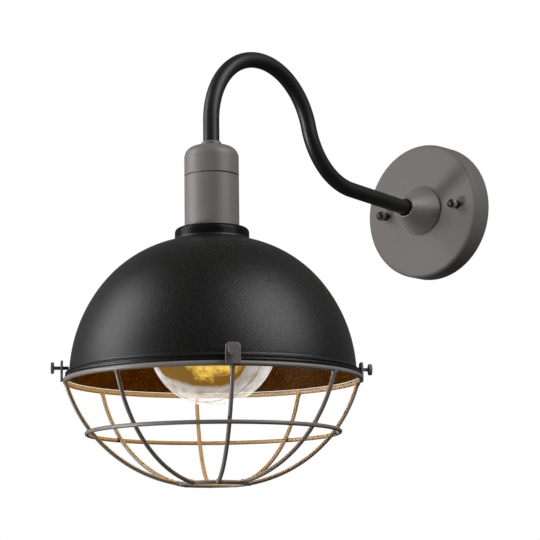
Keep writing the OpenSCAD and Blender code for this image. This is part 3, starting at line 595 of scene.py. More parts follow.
cone_profile = eased(
    [
        (TUBE_HOLE, PLATE_FACE),
        (CONE_FOOT_R - 2 * GROOVE, PLATE_FACE),
        (CONE_FOOT_R - 2 * GROOVE, PLATE_FACE + GROOVE),
        (CONE_FOOT_R, PLATE_FACE + GROOVE),
        (CONE_FOOT_R, PLATE_FACE + 2 * GROOVE),
        (CONE_LIP_R, CONE_END),
        (TUBE_R + CONE_GAP, CONE_END),
        (TUBE_R + CONE_GAP, CONE_END - CONE_RECESS),
        (TUBE_HOLE, CONE_END - CONE_RECESS),
    ],
    np.array([0.1, 0.1, 0.1, 0.2, 0.35, 0.5, 0.35, 0.3, 0.1]) * MM,
)


def groove_shadow_faces(c):
    """True for the faces of the groove at the cone's foot, which get the arm's black as a painted shadow."""
    low = -c[:, 1] < PLATE_FACE + 0.95 * GROOVE
    return low & (np.hypot(c[:, 0], c[:, 2]) < CONE_FOOT_R - 0.5 * GROOVE)


cone = skin("arm_root_cone", placed(spun(cone_profile), ON_WALL), loop=True)
dress(cone, "fixture", "grey_coat", ["arm_cone"], GREY, BLACK)
# Painted shadow: the groove's faces get the arm's black in place of their shade.
paint(cone, groove_shadow_faces)

# %% [markdown]
# ## Ball nuts
#
# Each nut is a short neck that swells into a ball, with a fine parting line between the two.
# Its stud runs in from behind, so the profile goes round a blind bore. The neck lies in the ball's
# shadow, and its faces are given the arm's black as a painted shadow, as the groove's are.

# %% Ball nuts
BALL_R = reach_of("ball_nut_left", 0)
BALL_NECK_R = 4.5 * MM
BALL_H = 8.5 * MM
STUD_BORE_R = 2.05 * MM
STUD_BORE_L = 7.9 * MM

ball_low = -math.degrees(math.acos(BALL_NECK_R / BALL_R))
ball_waist = BALL_H + BALL_R * math.sin(math.radians(ball_low))
ball_profile = joined(
    [STUD_BORE_R, 0],
    eased([(BALL_NECK_R, 0), (BALL_NECK_R, 0.01), (0, 0)], [0.35 * MM, 0, 0])[:7],
    [BALL_NECK_R, ball_waist - 0.35 * MM],
    [BALL_NECK_R - 0.3 * MM, ball_waist - 0.1 * MM],
    arc(0, BALL_H, BALL_R, ball_low + 1, 87, 30),
)
ball_bore = np.array([[0.02 * MM, STUD_BORE_L], [STUD_BORE_R, STUD_BORE_L]])

for side in ("left", "right"):
    node = "ball_nut_" + side
    foot = Matrix.Translation((middle(node)[0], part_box(node)[1][1], 0))
    shape = spun(joined(ball_bore, ball_profile), 64)
    nut = skin("ball_nut_cap_" + side, placed(shape, foot @ ON_WALL))
    dress(nut, node, "grey_coat", [node], GREY, BLACK)
    # Painted shadow: the neck's faces get the arm's black in place of the ball's shade.
    paint(nut, lambda c: np.hypot(c[:, 0] - foot[0][3], c[:, 2]) < BALL_NECK_R + 0.05 * MM)

# %% [markdown]
# ## The gooseneck
#
# One tube whose bends all have the same radius. Its centreline lies in the plane x = 0 and is a
# chain of straights and arcs, each of which starts where the last one ends and in the direction
# in which it ended, so only lengths and angles are given. The skin follows the line outside at
# the tube's radius and comes back inside at the bore's.

# %% The arm's centreline
BEND_R = 76 * MM
RISE, CLIMB = 3.5, 75.0
ROOT_OUT = 60 * MM
TAIL = -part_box("gooseneck_arm")[1][1]
FOOT_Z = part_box("gooseneck_arm")[0][2]

low_bend = REACH - BEND_R - 2 * BEND_R * math.sin(math.radians(CLIMB))
slope_run = (low_bend - ROOT_OUT) / math.cos(math.radians(RISE))
low_bend_z = BEND_R + slope_run * math.sin(math.radians(RISE))
top_bend_z = low_bend_z - 2 * BEND_R * math.cos(math.radians(CLIMB))

ARM_STEPS = [
    (ROOT_OUT - TAIL, 0),
    (BEND_R, RISE),
    (slope_run, 0),
    (BEND_R, CLIMB - RISE),
    (BEND_R, -(CLIMB + 90)),
    (top_bend_z - FOOT_Z, 0),
]


def chained(steps, start, spacing=0.035):
    """A flat line of straights (length, 0) and arcs (radius, degrees; up is positive).

    The direction after an arc is the direction before it plus the arc's angle. An arc's points
    are centre + r (sin a, -cos a), where the centre lies r to the left or the right of it."""
    at, heading, line = np.array(start, float), 0.0, []
    for size, angle in steps:
        if angle == 0:
            ahead = np.array([math.cos(heading), math.sin(heading)])
            line.append(at + np.outer(np.linspace(0, size, 7), ahead))
        else:
            sign = math.copysign(1, angle)
            count = max(3, int(abs(math.radians(angle)) / spacing))
            a = heading + np.linspace(0, math.radians(angle), count)
            centre = at + sign * size * np.array([-math.sin(heading), math.cos(heading)])
            line.append(centre + sign * size * np.column_stack([np.sin(a), -np.cos(a)]))
            heading = a[-1]
        at = line[-1][-1]
    return joined(*line)


arm_line = chained(ARM_STEPS, (TAIL, 0))
print("arm ends at %.1f mm out, %.1f mm high" % tuple(arm_line[-1] / MM))

# %% The arm's skin
TUBE_WALL = 1.5 * MM
arm_path = np.column_stack([0 * arm_line[:, 0], -arm_line[:, 0], arm_line[:, 1]])
outside = drawn(arm_path, TUBE_R, (1, 0, 0), 48)
inside = drawn(arm_path, TUBE_R - TUBE_WALL, (1, 0, 0), 48)[::-1]
arm = skin("gooseneck_tube", np.concatenate([outside, inside]), loop=True, sharp=50)
dress(arm, "fixture", "black_coat", ["gooseneck_arm"], BLACK)

# %% [markdown]
# ## Collar, cap and sleeve
#
# The socket housing is two turned shells with a seam, where both edges are eased so that a dark
# line shows. The cap has a broad round shoulder, and a small collar with one grub screw holds it
# on the arm.

# %% Collar
COLLAR_R = reach_of("cap_collar", 0)
COLLAR_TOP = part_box("cap_collar")[1][2]

collar_profile = eased(
    [
        (TUBE_HOLE, CAP_TOP),
        (COLLAR_R, CAP_TOP),
        (COLLAR_R, COLLAR_TOP - 1.0 * MM),
        (COLLAR_R - 1.0 * MM, COLLAR_TOP),
        (TUBE_HOLE, COLLAR_TOP),
    ],
    np.array([0.1, 0.35, 0.3, 0.3, 0.1]) * MM,
)
collar = skin("arm_collar", placed(spun(collar_profile, 96), ON_LAMP), loop=True)
dress(collar, "fixture", "grey_coat", ["cap_collar"], GREY)

# %% Cap
CAP_ROUND = 11.5 * MM
CAP_WALL = 1.8 * MM
SEAM_EASE = 0.5 * MM
SEAM_GAP = 0.45 * MM

cap_foot = SEAM_Z + SEAM_GAP
cap_profile = joined(
    [HOUSING_R - CAP_WALL, cap_foot],
    [HOUSING_R - 1.3 * SEAM_EASE, cap_foot],
    arc(HOUSING_R - SEAM_EASE, cap_foot + SEAM_EASE, SEAM_EASE, -90, 0, 6),
    [HOUSING_R, cap_foot + 1.6 * SEAM_EASE],
    [HOUSING_R, CAP_TOP - 1.08 * CAP_ROUND],
    arc(HOUSING_R - CAP_ROUND, CAP_TOP - CAP_ROUND, CAP_ROUND, 0, 90, 22),
    [TUBE_HOLE + 0.8 * MM, CAP_TOP],
    [TUBE_HOLE, CAP_TOP],
    [TUBE_HOLE, CAP_TOP - CAP_WALL],
    arc(HOUSING_R - CAP_ROUND, CAP_TOP - CAP_ROUND, CAP_ROUND - CAP_WALL, 90, 0, 12),
)
cap = skin("socket_cap_shell", placed(spun(cap_profile), ON_LAMP), loop=True)
dress(cap, "fixture", "grey_coat", ["socket_cap"], GREY)

# %% Sleeve
SLEEVE_BORE_R = HOUSING_R - 2.8 * MM
SPIGOT_GAP = 0.1 * MM
SPIGOT_R = HOUSING_R - CAP_WALL - SPIGOT_GAP
SPIGOT_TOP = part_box("socket_sleeve")[1][2]

sleeve_profile = eased(
    [
        (SLEEVE_BORE_R, SLEEVE_FOOT),
        (HOUSING_R, SLEEVE_FOOT),
        (HOUSING_R, SEAM_Z - SEAM_GAP),
        (SPIGOT_R, SEAM_Z - SEAM_GAP),
        (SPIGOT_R, SPIGOT_TOP),
        (SLEEVE_BORE_R, SPIGOT_TOP),
    ],
    np.array([0.2, 0.3, 0.5, 0.1, 0.2, 0.2]) * MM,
)
sleeve = skin("socket_sleeve_shell", placed(spun(sleeve_profile), ON_LAMP), loop=True)
dress(sleeve, "fixture", "grey_coat", ["socket_sleeve"], GREY)

# %% [markdown]
# ## The shade
#
# The dome is spun from one sheet. Its profile goes from the plate that the housing clamps, down
# the neck, round a small hollow curve, over two arcs that meet smoothly, and out over the rim:
# a small cove, a lip, a groove and a bead. The same line, one sheet's thickness further in,
# comes back up, so the whole shade is one closed surface, and its finishes go by rows of faces.

# %% The shade's profile
SHADE_WALL = 1.5 * MM
DOME_RIM_R = 138 * MM
LOW_R, UP_R = 145 * MM, 121.5 * MM
RIM_SLOPE, JOIN = 4.0, 39.0
NECK_R = 36.4 * MM
NECK_EDGE = 4.5 * MM
NECK_FOOT = 2.5 * MM
PLATE_HOLE_R = 20.1 * MM
COVE_R, BEAD_R, GROOVE_R = 4 * MM, 1.5 * MM, 1.0 * MM
RIM_FLARE = 4.4 * MM
LIP_IN, LIP_T = 0.4 * MM, 0.4 * MM
RIM_H = 10.2 * MM
GROOVE_LIFT, WALL_LIFT, COVE_SINK = 0.1 * MM, 0.9 * MM, 0.05 * MM


def direction(degrees):
    """The unit vector (cos a, sin a)."""
    return np.array([math.cos(math.radians(degrees)), math.sin(math.radians(degrees))])


low_c = np.array([DOME_RIM_R, RIM_FOOT + RIM_H]) - LOW_R * direction(RIM_SLOPE)
up_c = low_c + (LOW_R - UP_R) * direction(JOIN)
foot_x = NECK_R + NECK_FOOT
foot_turn = math.degrees(math.acos((foot_x - up_c[0]) / (UP_R + NECK_FOOT)))
foot_z = up_c[1] + (UP_R + NECK_FOOT) * math.sin(math.radians(foot_turn))
inner_turn = math.degrees(math.acos((NECK_R - SHADE_WALL - up_c[0]) / (UP_R - SHADE_WALL)))


def crossing(a, ra, b, rb):
    """The point where two circles meet, to the left of the line from centre a to centre b.

    It lies (ra^2 - rb^2 + d^2) / 2d along that line, which is d long."""
    line = b - a
    d = np.linalg.norm(line)
    along = (ra**2 - rb**2 + d**2) / (2 * d)
    aside = math.sqrt(ra**2 - along**2)
    return a + (along * line + aside * np.array([-line[1], line[0]])) / d


def turn_to(centre, point):
    """Direction from a centre to a point, in degrees from 0 to 360."""
    return math.degrees(math.atan2(point[1] - centre[1], point[0] - centre[0])) % 360


bead = np.array([DOME_RIM_R + RIM_FLARE - BEAD_R, RIM_FOOT + BEAD_R])
lip_x = bead[0] + BEAD_R - LIP_IN
groove = np.array([lip_x, bead[1] + BEAD_R + GROOVE_LIFT])
lip_z = groove[1] + GROOVE_R + LIP_T
cove_wall_r = low_c[0] + math.sqrt(LOW_R**2 - (lip_z + COVE_R - low_c[1]) ** 2)
cove_x = cove_wall_r - COVE_SINK + COVE_R
cove = np.array([cove_x, lip_z + math.sqrt(COVE_R**2 - (cove_x - lip_x) ** 2)])
wall_foot = bead[1] + BEAD_R + WALL_LIFT
inner_r = low_c[0] + math.sqrt((LOW_R - SHADE_WALL) ** 2 - (wall_foot - low_c[1]) ** 2)
wall_to_cove = crossing(low_c, LOW_R, cove, COVE_R)
groove_to_bead = crossing(groove, GROOVE_R, bead, BEAD_R)

shade_out = joined(
    [PLATE_HOLE_R, NECK_TOP],
    [NECK_R - 1.2 * NECK_EDGE, NECK_TOP],
    arc(NECK_R - NECK_EDGE, NECK_TOP - NECK_EDGE, NECK_EDGE, 90, 0, 14),
    [NECK_R, NECK_TOP - 1.2 * NECK_EDGE],
    [NECK_R, foot_z + 0.4 * MM],
    arc(foot_x, foot_z, NECK_FOOT, 180, 180 + foot_turn, 10),
    arc(*up_c, UP_R, foot_turn, JOIN, 40),
    arc(*low_c, LOW_R, JOIN, turn_to(low_c, wall_to_cove) + 0.25, 44),
    arc(*cove, COVE_R, turn_to(cove, wall_to_cove) + 4, turn_to(cove, (lip_x, lip_z)) - 1, 14),
    [lip_x, lip_z - 0.1 * MM],
    [lip_x, lip_z - LIP_T + 0.1 * MM],
    arc(*groove, GROOVE_R, 97, turn_to(groove, groove_to_bead) - 6, 12),
    arc(*bead, BEAD_R, turn_to(bead, groove_to_bead) - 4, -90, 16),
    [inner_r + 0.3 * MM, RIM_FOOT],
    [inner_r, RIM_FOOT + 0.3 * MM],
)
shade_in = joined(
    arc(*low_c, LOW_R - SHADE_WALL, turn_to(low_c, (inner_r, wall_foot)), JOIN, 40),
    arc(*up_c, UP_R - SHADE_WALL, JOIN, inner_turn, 36),
    [NECK_R - SHADE_WALL, NECK_TOP - 1.2 * NECK_EDGE],
    arc(NECK_R - NECK_EDGE, NECK_TOP - NECK_EDGE, NECK_EDGE - SHADE_WALL, 0, 90, 8),
    [PLATE_HOLE_R, NECK_TOP - SHADE_WALL],
)
print("shade profile: %d points outside, %d inside" % (len(shade_out), len(shade_in)))

# %% The shade's three finishes
SHADE_AROUND = 256
shade = skin("spun_shade", placed(spun(joined(shade_out, shade_in), SHADE_AROUND), ON_LAMP), loop=True)
dress(shade, "fixture", "black_coat", ["shade"], SHADE_BLACK, SHADE_GOLD, SHADE_NECK)
row = np.arange(len(shade.data.polygons)) // SHADE_AROUND
lining = (row >= len(shade_out) - 1) & (row < len(shade_out) + len(shade_in) - 3)
neck_rows = int(np.sum(shade_out[:, 1] > foot_z + 0.3 * MM)) - 1
finish_of = np.where(lining, 1, np.where(row < neck_rows, 2, 0))
shade.data.polygons.foreach_set("material_index", finish_of.astype(np.int32))

# %% [markdown]
# ## The wire cage
#
# Three rings and eight bent wires, welded where they meet. A rib is one arc in an upright plane.
# Its radius grows over the last two millimetres at each end, as the fillet of a weld does, so it
# runs into the rings without a gap, but it stays level with the bottom ring's underside. Where
# the middle ring crosses a rib, a small uneven bead of weld joins the two.

# %% Rings
TURN = -40.0
WIRE_AROUND = 44
CAGE_Z = middle("cage_top_ring")[2]
TOP_WIRE_R = reach_of("cage_top_ring", 2)
RIB_R = reach_of("cage_mid_ring", 2)
CAGE_R = reach_of("cage_top_ring", 0) - TOP_WIRE_R
MID_R = reach_of("cage_mid_ring", 0) - RIB_R
MID_Z = middle("cage_mid_ring")[2]
FLOOR_R = reach_of("cage_bottom_ring", 0) - RIB_R
FLOOR_Z = middle("cage_bottom_ring")[2]


def round_path(radius, height, steps):
    """A level circle about the lamp's axis."""
    t = np.linspace(0, 2 * np.pi, steps, endpoint=False)
    return LAMP + np.column_stack([radius * np.cos(t), radius * np.sin(t), height + 0 * t])


for name, radius, height, wire, steps in (
    ("top", CAGE_R, CAGE_Z, TOP_WIRE_R, 240),
    ("mid", MID_R, MID_Z, RIB_R, 220),
    ("bottom", FLOOR_R, FLOOR_Z, RIB_R, 96),
):
    ring_shape = drawn(round_path(radius, height, steps), wire, (0, 0, 1), WIRE_AROUND, True)
    ring = skin("cage_ring_" + name, ring_shape, loop=True)
    dress(ring, "cage", "grey_coat", ["cage_%s_ring" % name], WIRE_GREY)

# %% Ribs
RIB_CURVE_R = 136 * MM
drop = CAGE_Z - FLOOR_Z
chord = math.hypot(CAGE_R - FLOOR_R, drop)
sag = math.sqrt(RIB_CURVE_R**2 - chord**2 / 4)
rib_c = np.array([
    (CAGE_R + FLOOR_R) / 2 - sag * drop / chord,
    (CAGE_Z + FLOOR_Z) / 2 + sag * (CAGE_R - FLOOR_R) / chord,
])
rib_from = math.degrees(math.atan2(CAGE_Z - rib_c[1], CAGE_R - rib_c[0]))
rib_to = math.degrees(math.atan2(FLOOR_Z - rib_c[1], FLOOR_R - rib_c[0]))
rib_line = arc(*rib_c, RIB_CURVE_R, rib_from, rib_to, 72)


def weld_swell(line, ends, wire, length=1.6 * MM, height=0.45):
    """A wire's radius along a line: it grows like exp(-(distance / length)^2) near each end."""
    gone = np.concatenate([[0], np.cumsum(np.linalg.norm(np.diff(line, axis=0), axis=1))])
    from_ring = np.minimum(np.abs(gone - ends[0]), np.abs(gone[-1] - gone - ends[1]))
    return wire * (1 + height * np.exp(-((from_ring / length) ** 2)))


rib_radius = weld_swell(rib_line, (TOP_WIRE_R, RIB_R), RIB_R)
for k in range(8):
    turn = Matrix.Rotation(math.radians(TURN + 45 * k), 4, "Z")
    path = np.column_stack([rib_line[:, 0], 0 * rib_line[:, 0], rib_line[:, 1]])
    rib_shape = drawn(path, rib_radius, (0, 1, 0), WIRE_AROUND)
    rib_shape[..., 2] = np.maximum(rib_shape[..., 2], FLOOR_Z - RIB_R)
    rib = skin("cage_wire_%d" % (k + 1), placed(rib_shape, ON_LAMP @ turn))
    dress(rib, "cage", "grey_coat", ["cage_rib_%d" % (k + 1)], WIRE_GREY)

# %% [markdown]
# ## Welds, tabs and thumbscrews
#
# A bead of weld is a lumpy drop: a sphere whose radius wavers with direction. The tabs are
# blanked from flat bar with two rounded corners and a hole, so their surface runs from the hole
# out to the outline and back behind. A thumbscrew is turned, with fine thread rings on its
# shank and a thin round head with a knurled edge.

# %% Beads of weld


def lump(size, seed, across=16, along=10):
    """A drop with radii size (x, y, z) that wavers by a few percent: 1 + sum of a cos(k t + p)."""
    rng = np.random.default_rng(seed)
    t = np.linspace(0, 2 * np.pi, across, endpoint=False)[None]
    s = np.linspace(0.12, np.pi - 0.12, along)[:, None]
    phase = rng.uniform(0, 6.28, 3)
    waver = 1 + 0.06 * np.cos(2 * t + phase[0]) * np.sin(s)
    waver = waver + 0.05 * np.cos(3 * t + phase[1] + s * 2) + 0.04 * np.cos(4 * s + phase[2])
    ball = np.stack([np.sin(s) * np.cos(t), np.sin(s) * np.sin(t), np.cos(s) + 0 * t], axis=-1)
    return ball * waver[..., None] * np.array(size)


mid_turn = math.degrees(math.atan2(MID_Z - rib_c[1], MID_R - rib_c[0]))
weld_at = rib_c + (RIB_CURVE_R + RIB_R) * direction(mid_turn)
welds = []
for k in range(8):
    turn = Matrix.Rotation(math.radians(TURN + 45 * k), 4, "Z")
    spot = Matrix.Translation((weld_at[0], 0, weld_at[1])) @ Matrix.Rotation(math.radians(-mid_turn), 4, "Y")
    bead_shape = lump((1.25 * MM, 2.5 * MM, 2.3 * MM), k)
    weld = skin("mid_weld_%d" % (k + 1), placed(bead_shape, ON_LAMP @ turn @ spot), sharp=80)
    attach(weld, "cage")
    weld.data.materials.append(WIRE_GREY)
    welds.append(weld)
print("beads of weld:", len(welds))

# %% Tabs
TAB_W, TAB_H, TAB_T = 13.8 * MM, 19.5 * MM, 2 * MM
TAB_CORNER = 4 * MM
TOUCH = 0.05 * MM
TAB_IN = CAGE_R + TOP_WIRE_R + TOUCH
TAB_FOOT = CAGE_Z - 1 * MM
SCREW_Z = middle("thumbscrew_1")[2]
SHANK_R = 1.75 * MM


def tab_outline(inset, steps=9):
    """The tab's outline, drawn in by inset: square at the foot and round at the top.

    Its points are (y, z), from (0, 0) at the middle of the foot."""
    w, h, r = TAB_W / 2 - inset, TAB_H - inset, TAB_CORNER - inset
    foot = np.linspace(-w, w, 15)[:, None] * [1, 0] + [0, inset]
    right = np.column_stack([np.full(8, w), np.linspace(inset, h - r, 8)])
    left = right[::-1] * [-1, 1]
    top = np.linspace(w - r, r - w, 7)[:, None] * [1, 0] + [0, h]
    right_corner = arc(w - r, h - r, r, 0, 90, steps)
    left_corner = arc(r - w, h - r, r, 90, 180, steps)
    return joined(foot, right, right_corner, top, left_corner, left)[:-1]


def tab_grid(hole_r, ease=0.35 * MM):
    """Rows from the hole out over the front face, round the edge and back to the hole."""
    hole_at = np.array([0, SCREW_Z - TAB_FOOT])
    edge = tab_outline(0)
    ray = edge - hole_at
    hole = hole_at + hole_r * ray / np.linalg.norm(ray, axis=1, keepdims=True)
    rows = [(hole, 0), (hole + (edge - hole) * 0.12, 0), (tab_outline(2.2 * ease), 0), (tab_outline(ease), 0)]
    rows += [(tab_outline(0.3 * ease), 0.3 * ease), (edge, ease)]
    front = [np.column_stack([np.full(len(line), TAB_T - depth), line]) for line, depth in rows]
    back = [np.column_stack([np.full(len(line), depth), line]) for line, depth in rows[::-1]]
    return np.stack(front + back)


tab_shape = tab_grid(SHANK_R + TOUCH)
for k in range(4):
    turn = Matrix.Rotation(math.radians(TURN + 90 * k), 4, "Z")
    spot = Matrix.Translation((TAB_IN, 0, TAB_FOOT))
    tab = skin("screw_tab_%d" % (k + 1), placed(tab_shape, ON_LAMP @ turn @ spot), loop=True)
    dress(tab, "cage", "grey_coat", ["cage_tab_%d" % (k + 1)], GREY)

# %% Thumbscrews
HEAD_R = reach_of("thumbscrew_1", 2)
HEAD_T = 3.1 * MM
FREE_GAP = 0.3 * MM
TIP_CHAMFER = 0.5 * MM
TIP_TO_COVE = COVE_R - FREE_GAP
TIP_RISE = SCREW_Z - SHANK_R + TIP_CHAMFER - cove[1]
TIP = cove[0] - math.sqrt(TIP_TO_COVE**2 - TIP_RISE**2)
SHANK_BARE = 6.2 * MM
HEAD_FOOT = TAB_IN + TAB_T + SHANK_BARE
THREAD = 0.7 * MM

thread_at = np.arange(TIP + 0.9 * MM, HEAD_FOOT - 1.2 * MM, THREAD / 4)
thread_r = SHANK_R - 0.16 * MM * (0.5 + 0.5 * np.cos(2 * np.pi * (thread_at - TIP) / THREAD))
head_edge = eased([(0, 0), (HEAD_R, 0), (HEAD_R, HEAD_T), (0, HEAD_T)], [0, 0.45 * MM, 0.45 * MM, 0])
head_edge = head_edge[head_edge[:, 0] > 0.02 * MM]
head_face = np.column_stack([np.linspace(0.85, 0.02, 9) * HEAD_R, np.full(9, HEAD_T)])
screw_profile = joined(
    [0.05 * MM, TIP],
    [SHANK_R - 0.6 * MM, TIP],
    [SHANK_R - 0.15 * MM, TIP + TIP_CHAMFER],
    np.column_stack([thread_r, thread_at]),
    [SHANK_R, HEAD_FOOT - 0.9 * MM],
    [SHANK_R, HEAD_FOOT],
    head_edge + [0, HEAD_FOOT],
    head_face + [0, HEAD_FOOT],
)


def knurled(profile, around, teeth, depth, from_r):
    """A spun profile whose outermost rows waver: r (1 - depth (0.5 + 0.5 cos(teeth t)))."""
    grid = spun(profile, around)
    t = np.linspace(0, 2 * np.pi, around, endpoint=False)
    outer = (profile[:, 0] > from_r).astype(float)[:, None]
    shrink = 1 - depth * outer * (0.5 + 0.5 * np.cos(teeth * t))
    return grid * np.stack([shrink, shrink, np.ones_like(shrink)], axis=-1)


screw_shape = knurled(screw_profile, 144, 36, 0.02, HEAD_R - 0.1 * MM)
OUTWARD = Matrix.Rotation(math.radians(90), 4, "Y")
for k in range(4):
    node = "thumbscrew_%d" % (k + 1)
    turn = Matrix.Rotation(math.radians(TURN + 90 * k), 4, "Z")
    spot = Matrix.Translation((0, 0, SCREW_Z))
    screw = skin("thumb_head_%d" % (k + 1), placed(screw_shape, ON_LAMP @ turn @ spot @ OUTWARD))
    dress(screw, node, "grey_coat", [node], GREY)

# %% [markdown]
# ## The bulb
#
# A clear globe that narrows into a neck and slips into the screw base. Its profile starts at the
# bottom of the globe, climbs outside to the stub in the base, turns over the edge and comes down
# inside. The base's screw thread is a rounded wave on a spun profile.

# %% Globe
GLOBE_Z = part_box("bulb_glass")[0][2] + GLOBE_R
GLASS = 1.0 * MM
BULB_NECK_R = 16 * MM
BLEND_R = 22 * MM
STUB_R = 12.55 * MM
STUB_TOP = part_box("bulb_glass")[1][2]
HOLDER_OUT, NECK_ROOM = 27 * MM, 1.5 * MM
BULB_NECK_TOP = SLEEVE_FOOT - HOLDER_OUT - NECK_ROOM

blend_x = BULB_NECK_R + BLEND_R
blend_turn = math.degrees(math.acos(blend_x / (GLOBE_R + BLEND_R)))
blend_z = GLOBE_Z + (GLOBE_R + BLEND_R) * math.sin(math.radians(blend_turn))


def glass_line(inset):
    """The globe, its neck and the stub, drawn in by inset, from the bottom up."""
    shoulder = BULB_NECK_R - STUB_R - inset
    return joined(
        arc(0, GLOBE_Z, GLOBE_R - inset, -89.7, blend_turn, 72),
        arc(blend_x, blend_z, BLEND_R + inset, 180 + blend_turn, 180, 14),
        [BULB_NECK_R - inset, BULB_NECK_TOP - inset - 1.2 * shoulder],
        arc(BULB_NECK_R - inset - shoulder, BULB_NECK_TOP - inset - shoulder, shoulder, 0, 80, 7),
        [STUB_R - inset, BULB_NECK_TOP - inset],
        [STUB_R - inset, STUB_TOP],
    )


globe = skin("bulb_globe", placed(spun(joined(glass_line(0), glass_line(GLASS)[::-1]), 144), ON_LAMP))
dress(globe, "bulb", "clear_glass", ["bulb_glass"], CLEAR, CLEAR_INSIDE)
paint(globe, lambda c: np.linalg.norm(c - LAMP - [0, 0, GLOBE_Z], axis=1) < GLOBE_R - GLASS / 2)
globe.visible_shadow = False

# %% Screw base
BASE_R = reach_of("bulb_base", 0)
BASE_FOOT, BASE_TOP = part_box("bulb_base")[0][2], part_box("bulb_base")[1][2]
BASE_PITCH = 3.6 * MM
BASE_BORE_R = STUB_R + 0.03 * MM

wave_at = np.linspace(BASE_FOOT + 3 * MM, BASE_TOP - 2.5 * MM, 60)
wave_r = BASE_R - 0.55 * MM * (0.5 - 0.5 * np.cos(2 * np.pi * (wave_at - BASE_FOOT) / BASE_PITCH))
base_profile = joined(
    [BASE_R, BASE_FOOT],
    np.column_stack([wave_r, wave_at]),
    arc(BASE_R - 2 * MM, BASE_TOP - 2 * MM, 1.9 * MM, 0, 90, 6),
    [BASE_R / 2, BASE_TOP],
    [BASE_R / 2, BASE_TOP - 0.4 * MM],
    [BASE_R - 2.6 * MM, BASE_TOP - 0.5 * MM],
    [BASE_BORE_R, BASE_TOP - 2.6 * MM],
    [BASE_BORE_R, BASE_FOOT],
)
base = skin("bulb_screw_base", placed(spun(base_profile, 96), ON_LAMP), loop=True)
dress(base, "bulb", "zinc_steel", ["bulb_base"], ZINC)

# %% [markdown]
# ## Materials for the pieces that keep their solids
#
# The strap, nuts, wires and the lampholder are right as they are. A node's solid stays as it is
# and only its material slots change.

# %% Materials on kept nodes
KEPT = {
    "mounting_strap": ZINC,
    "mounting_studs": ZINC,
    "stud_nuts": ZINC,
    "arm_washer": ZINC,
    "arm_locknut": ZINC,
    "cap_nut": ZINC,
    "lampholder_bracket": ZINC,
    "bracket_screws": ZINC,
    "collar_grub_screw": PLATE_GREY,
    "ground_screw": GREEN,
    "ground_lead": COPPER,
    "lead_live": BLACK_WIRE,
    "lead_neutral": WHITE_WIRE,
    "wire_connectors": CLIP,
    "lampholder_body": PORCELAIN,
    "terminal_screws": BRASS,
    "lampholder_shell": BRASS,
    "lampholder_contact": BRASS,
    "shade_ring": BLACK,
    "bulb_insulator": BLACK_GLASS,
    "bulb_contact": ZINC,
    "bulb_stem": STEM_GLASS,
    "bulb_filament": HOT_WIRE,
}
for node, finish in KEPT.items():
    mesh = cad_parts[node].data
    mesh.materials.clear()
    mesh.materials.append(finish)
print("kept nodes:", len(KEPT))

# %% [markdown]
# ## Light, floor and camera
#
# The photograph was taken in a white studio: a broad soft light high on the right, a tall soft
# one high on the left, a small one low on the left, and white all round. The world is plain
# white where the camera looks at it, straight or through glass, and a dim grey to gloss and as a
# source of light. The floor is a dark paper that only the camera sees as pale, so that it throws
# little light up under the lamp. A small amber lamp inside the globe does what the lit filament
# does: it gilds the inside of the shade and the back of the cage.

# %% World and floor
world = bpy.data.worlds.new("studio")
bpy.context.scene.world = world
world.use_nodes = True
WORLD_LIGHT = 0.17
tree = world.node_tree
tree.nodes.clear()
rays = tree.nodes.new("ShaderNodeLightPath")
seen = tree.nodes.new("ShaderNodeMath")
seen.operation, seen.use_clamp = "ADD", True
tree.links.new(rays.outputs["Is Camera Ray"], seen.inputs[0])
tree.links.new(rays.outputs["Is Transmission Ray"], seen.inputs[1])
level = tree.nodes.new("ShaderNodeMapRange")
level.inputs["To Min"].default_value = WORLD_LIGHT
level.inputs["To Max"].default_value = 1.0
tree.links.new(seen.outputs[0], level.inputs["Value"])
white = tree.nodes.new("ShaderNodeBackground")
white.inputs["Color"].default_value = (1, 1, 1, 1)
tree.links.new(level.outputs[0], white.inputs["Strength"])
end = tree.nodes.new("ShaderNodeOutputWorld")
tree.links.new(white.outputs[0], end.inputs["Surface"])

CAGE_ROOM, FLOOR_DROP = 0.11, 1.0
FLOOR_GLOW = 0.78
floor_mesh = bpy.data.meshes.new("studio_floor")
floor_z = RIM_FOOT - CAGE_ROOM - FLOOR_DROP
half = 40.0
floor_mesh.from_pydata(
    [(-half, -half, floor_z), (half, -half, floor_z), (half, half, floor_z), (-half, half, floor_z)],
    [],
    [(0, 1, 2, 3)],
)
floor = bpy.data.objects.new("studio_floor", floor_mesh)
bpy.context.scene.collection.objects.link(floor)
floor_finish = Finish("floor_paper")
seen_by_camera = floor_finish.add("ShaderNodeLightPath", out="Is Camera Ray")
floor_mesh.materials.append(floor_finish.done(
    Base_Color=floor_finish.blend(floor_finish.grain(30), (0.10, 0.10, 0.10), (0.11, 0.11, 0.11)),
    Roughness=0.9,
    Specular_IOR_Level=0.0,
    Emission_Color=floor_finish.blend(seen_by_camera, (0, 0, 0), (FLOOR_GLOW,) * 3),
    Emission_Strength=1.0,
))

# %% Lamps


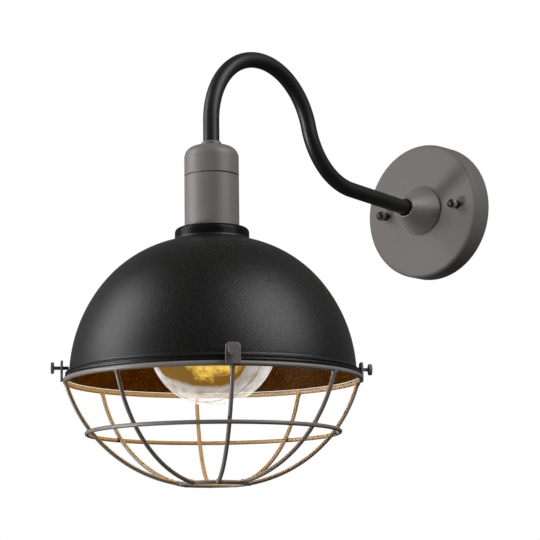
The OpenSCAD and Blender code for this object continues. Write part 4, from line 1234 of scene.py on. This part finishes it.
def softbox(name, spot, aim, wide, tall, power):
    """An area lamp at spot that faces aim."""
    data = bpy.data.lights.new(name, "AREA")
    data.shape, data.size, data.size_y, data.energy = "RECTANGLE", wide, tall, power
    lamp = bpy.data.objects.new(name, data)
    bpy.context.scene.collection.objects.link(lamp)
    facing = Matrix.Translation(aim).to_translation() - Matrix.Translation(spot).to_translation()
    lamp.matrix_world = Matrix.Translation(spot) @ facing.to_track_quat("-Z", "Y").to_matrix().to_4x4()


AIM = np.array([0.0, -0.3, -0.12])


def around_aim(turn, rise, far):
    """The place that lies far metres from AIM, turn degrees from +X and rise degrees up."""
    a, b = math.radians(turn), math.radians(rise)
    return AIM + far * np.array([math.cos(b) * math.cos(a), math.cos(b) * math.sin(a), math.sin(b)])


softbox("key_left", around_aim(-136, 26, 2.3), AIM, 1.3, 1.7, 37)
softbox("low_left", around_aim(-126, -16, 1.9), AIM, 0.36, 0.36, 32)
softbox("key_right", around_aim(8, 36, 2.3), AIM, 1.7, 2.0, 52)

FILAMENT_Z = -0.190
amber = bpy.data.lights.new("filament_light", "POINT")
amber.color, amber.energy, amber.shadow_soft_size = (1.0, 0.57, 0.13), 2.6, 0.026
amber_lamp = bpy.data.objects.new("filament_light", amber)
amber_lamp.location = LAMP + [0, 0, FILAMENT_Z]
amber_lamp.visible_camera = amber_lamp.visible_glossy = False
bpy.context.scene.collection.objects.link(amber_lamp)

# %% Camera
CAMERA_AT = (1.2470, -1.7050, -0.4208)
CAMERA_RIGHT = (0.75083, 0.66037, -0.01290)
CAMERA_UP = (0.12071, -0.11800, 0.98565)
CAMERA_BACK = (0.64938, -0.74161, -0.16831)
FOCAL_PIXELS, FRAME_PIXELS, SENSOR = 1906.7, 540, 36.0

camera_data = bpy.data.cameras.new("camera")
camera_data.sensor_width = SENSOR
camera_data.lens = FOCAL_PIXELS * SENSOR / FRAME_PIXELS
camera_data.clip_start = 0.05
camera = bpy.data.objects.new("camera", camera_data)
axes = Matrix((CAMERA_RIGHT, CAMERA_UP, CAMERA_BACK)).transposed().to_4x4()
camera.matrix_world = Matrix.Translation(CAMERA_AT) @ axes
bpy.context.scene.collection.objects.link(camera)
bpy.context.scene.camera = camera
bpy.context.scene.view_settings.view_transform = "Standard"
print("lens %.1f mm" % camera_data.lens)
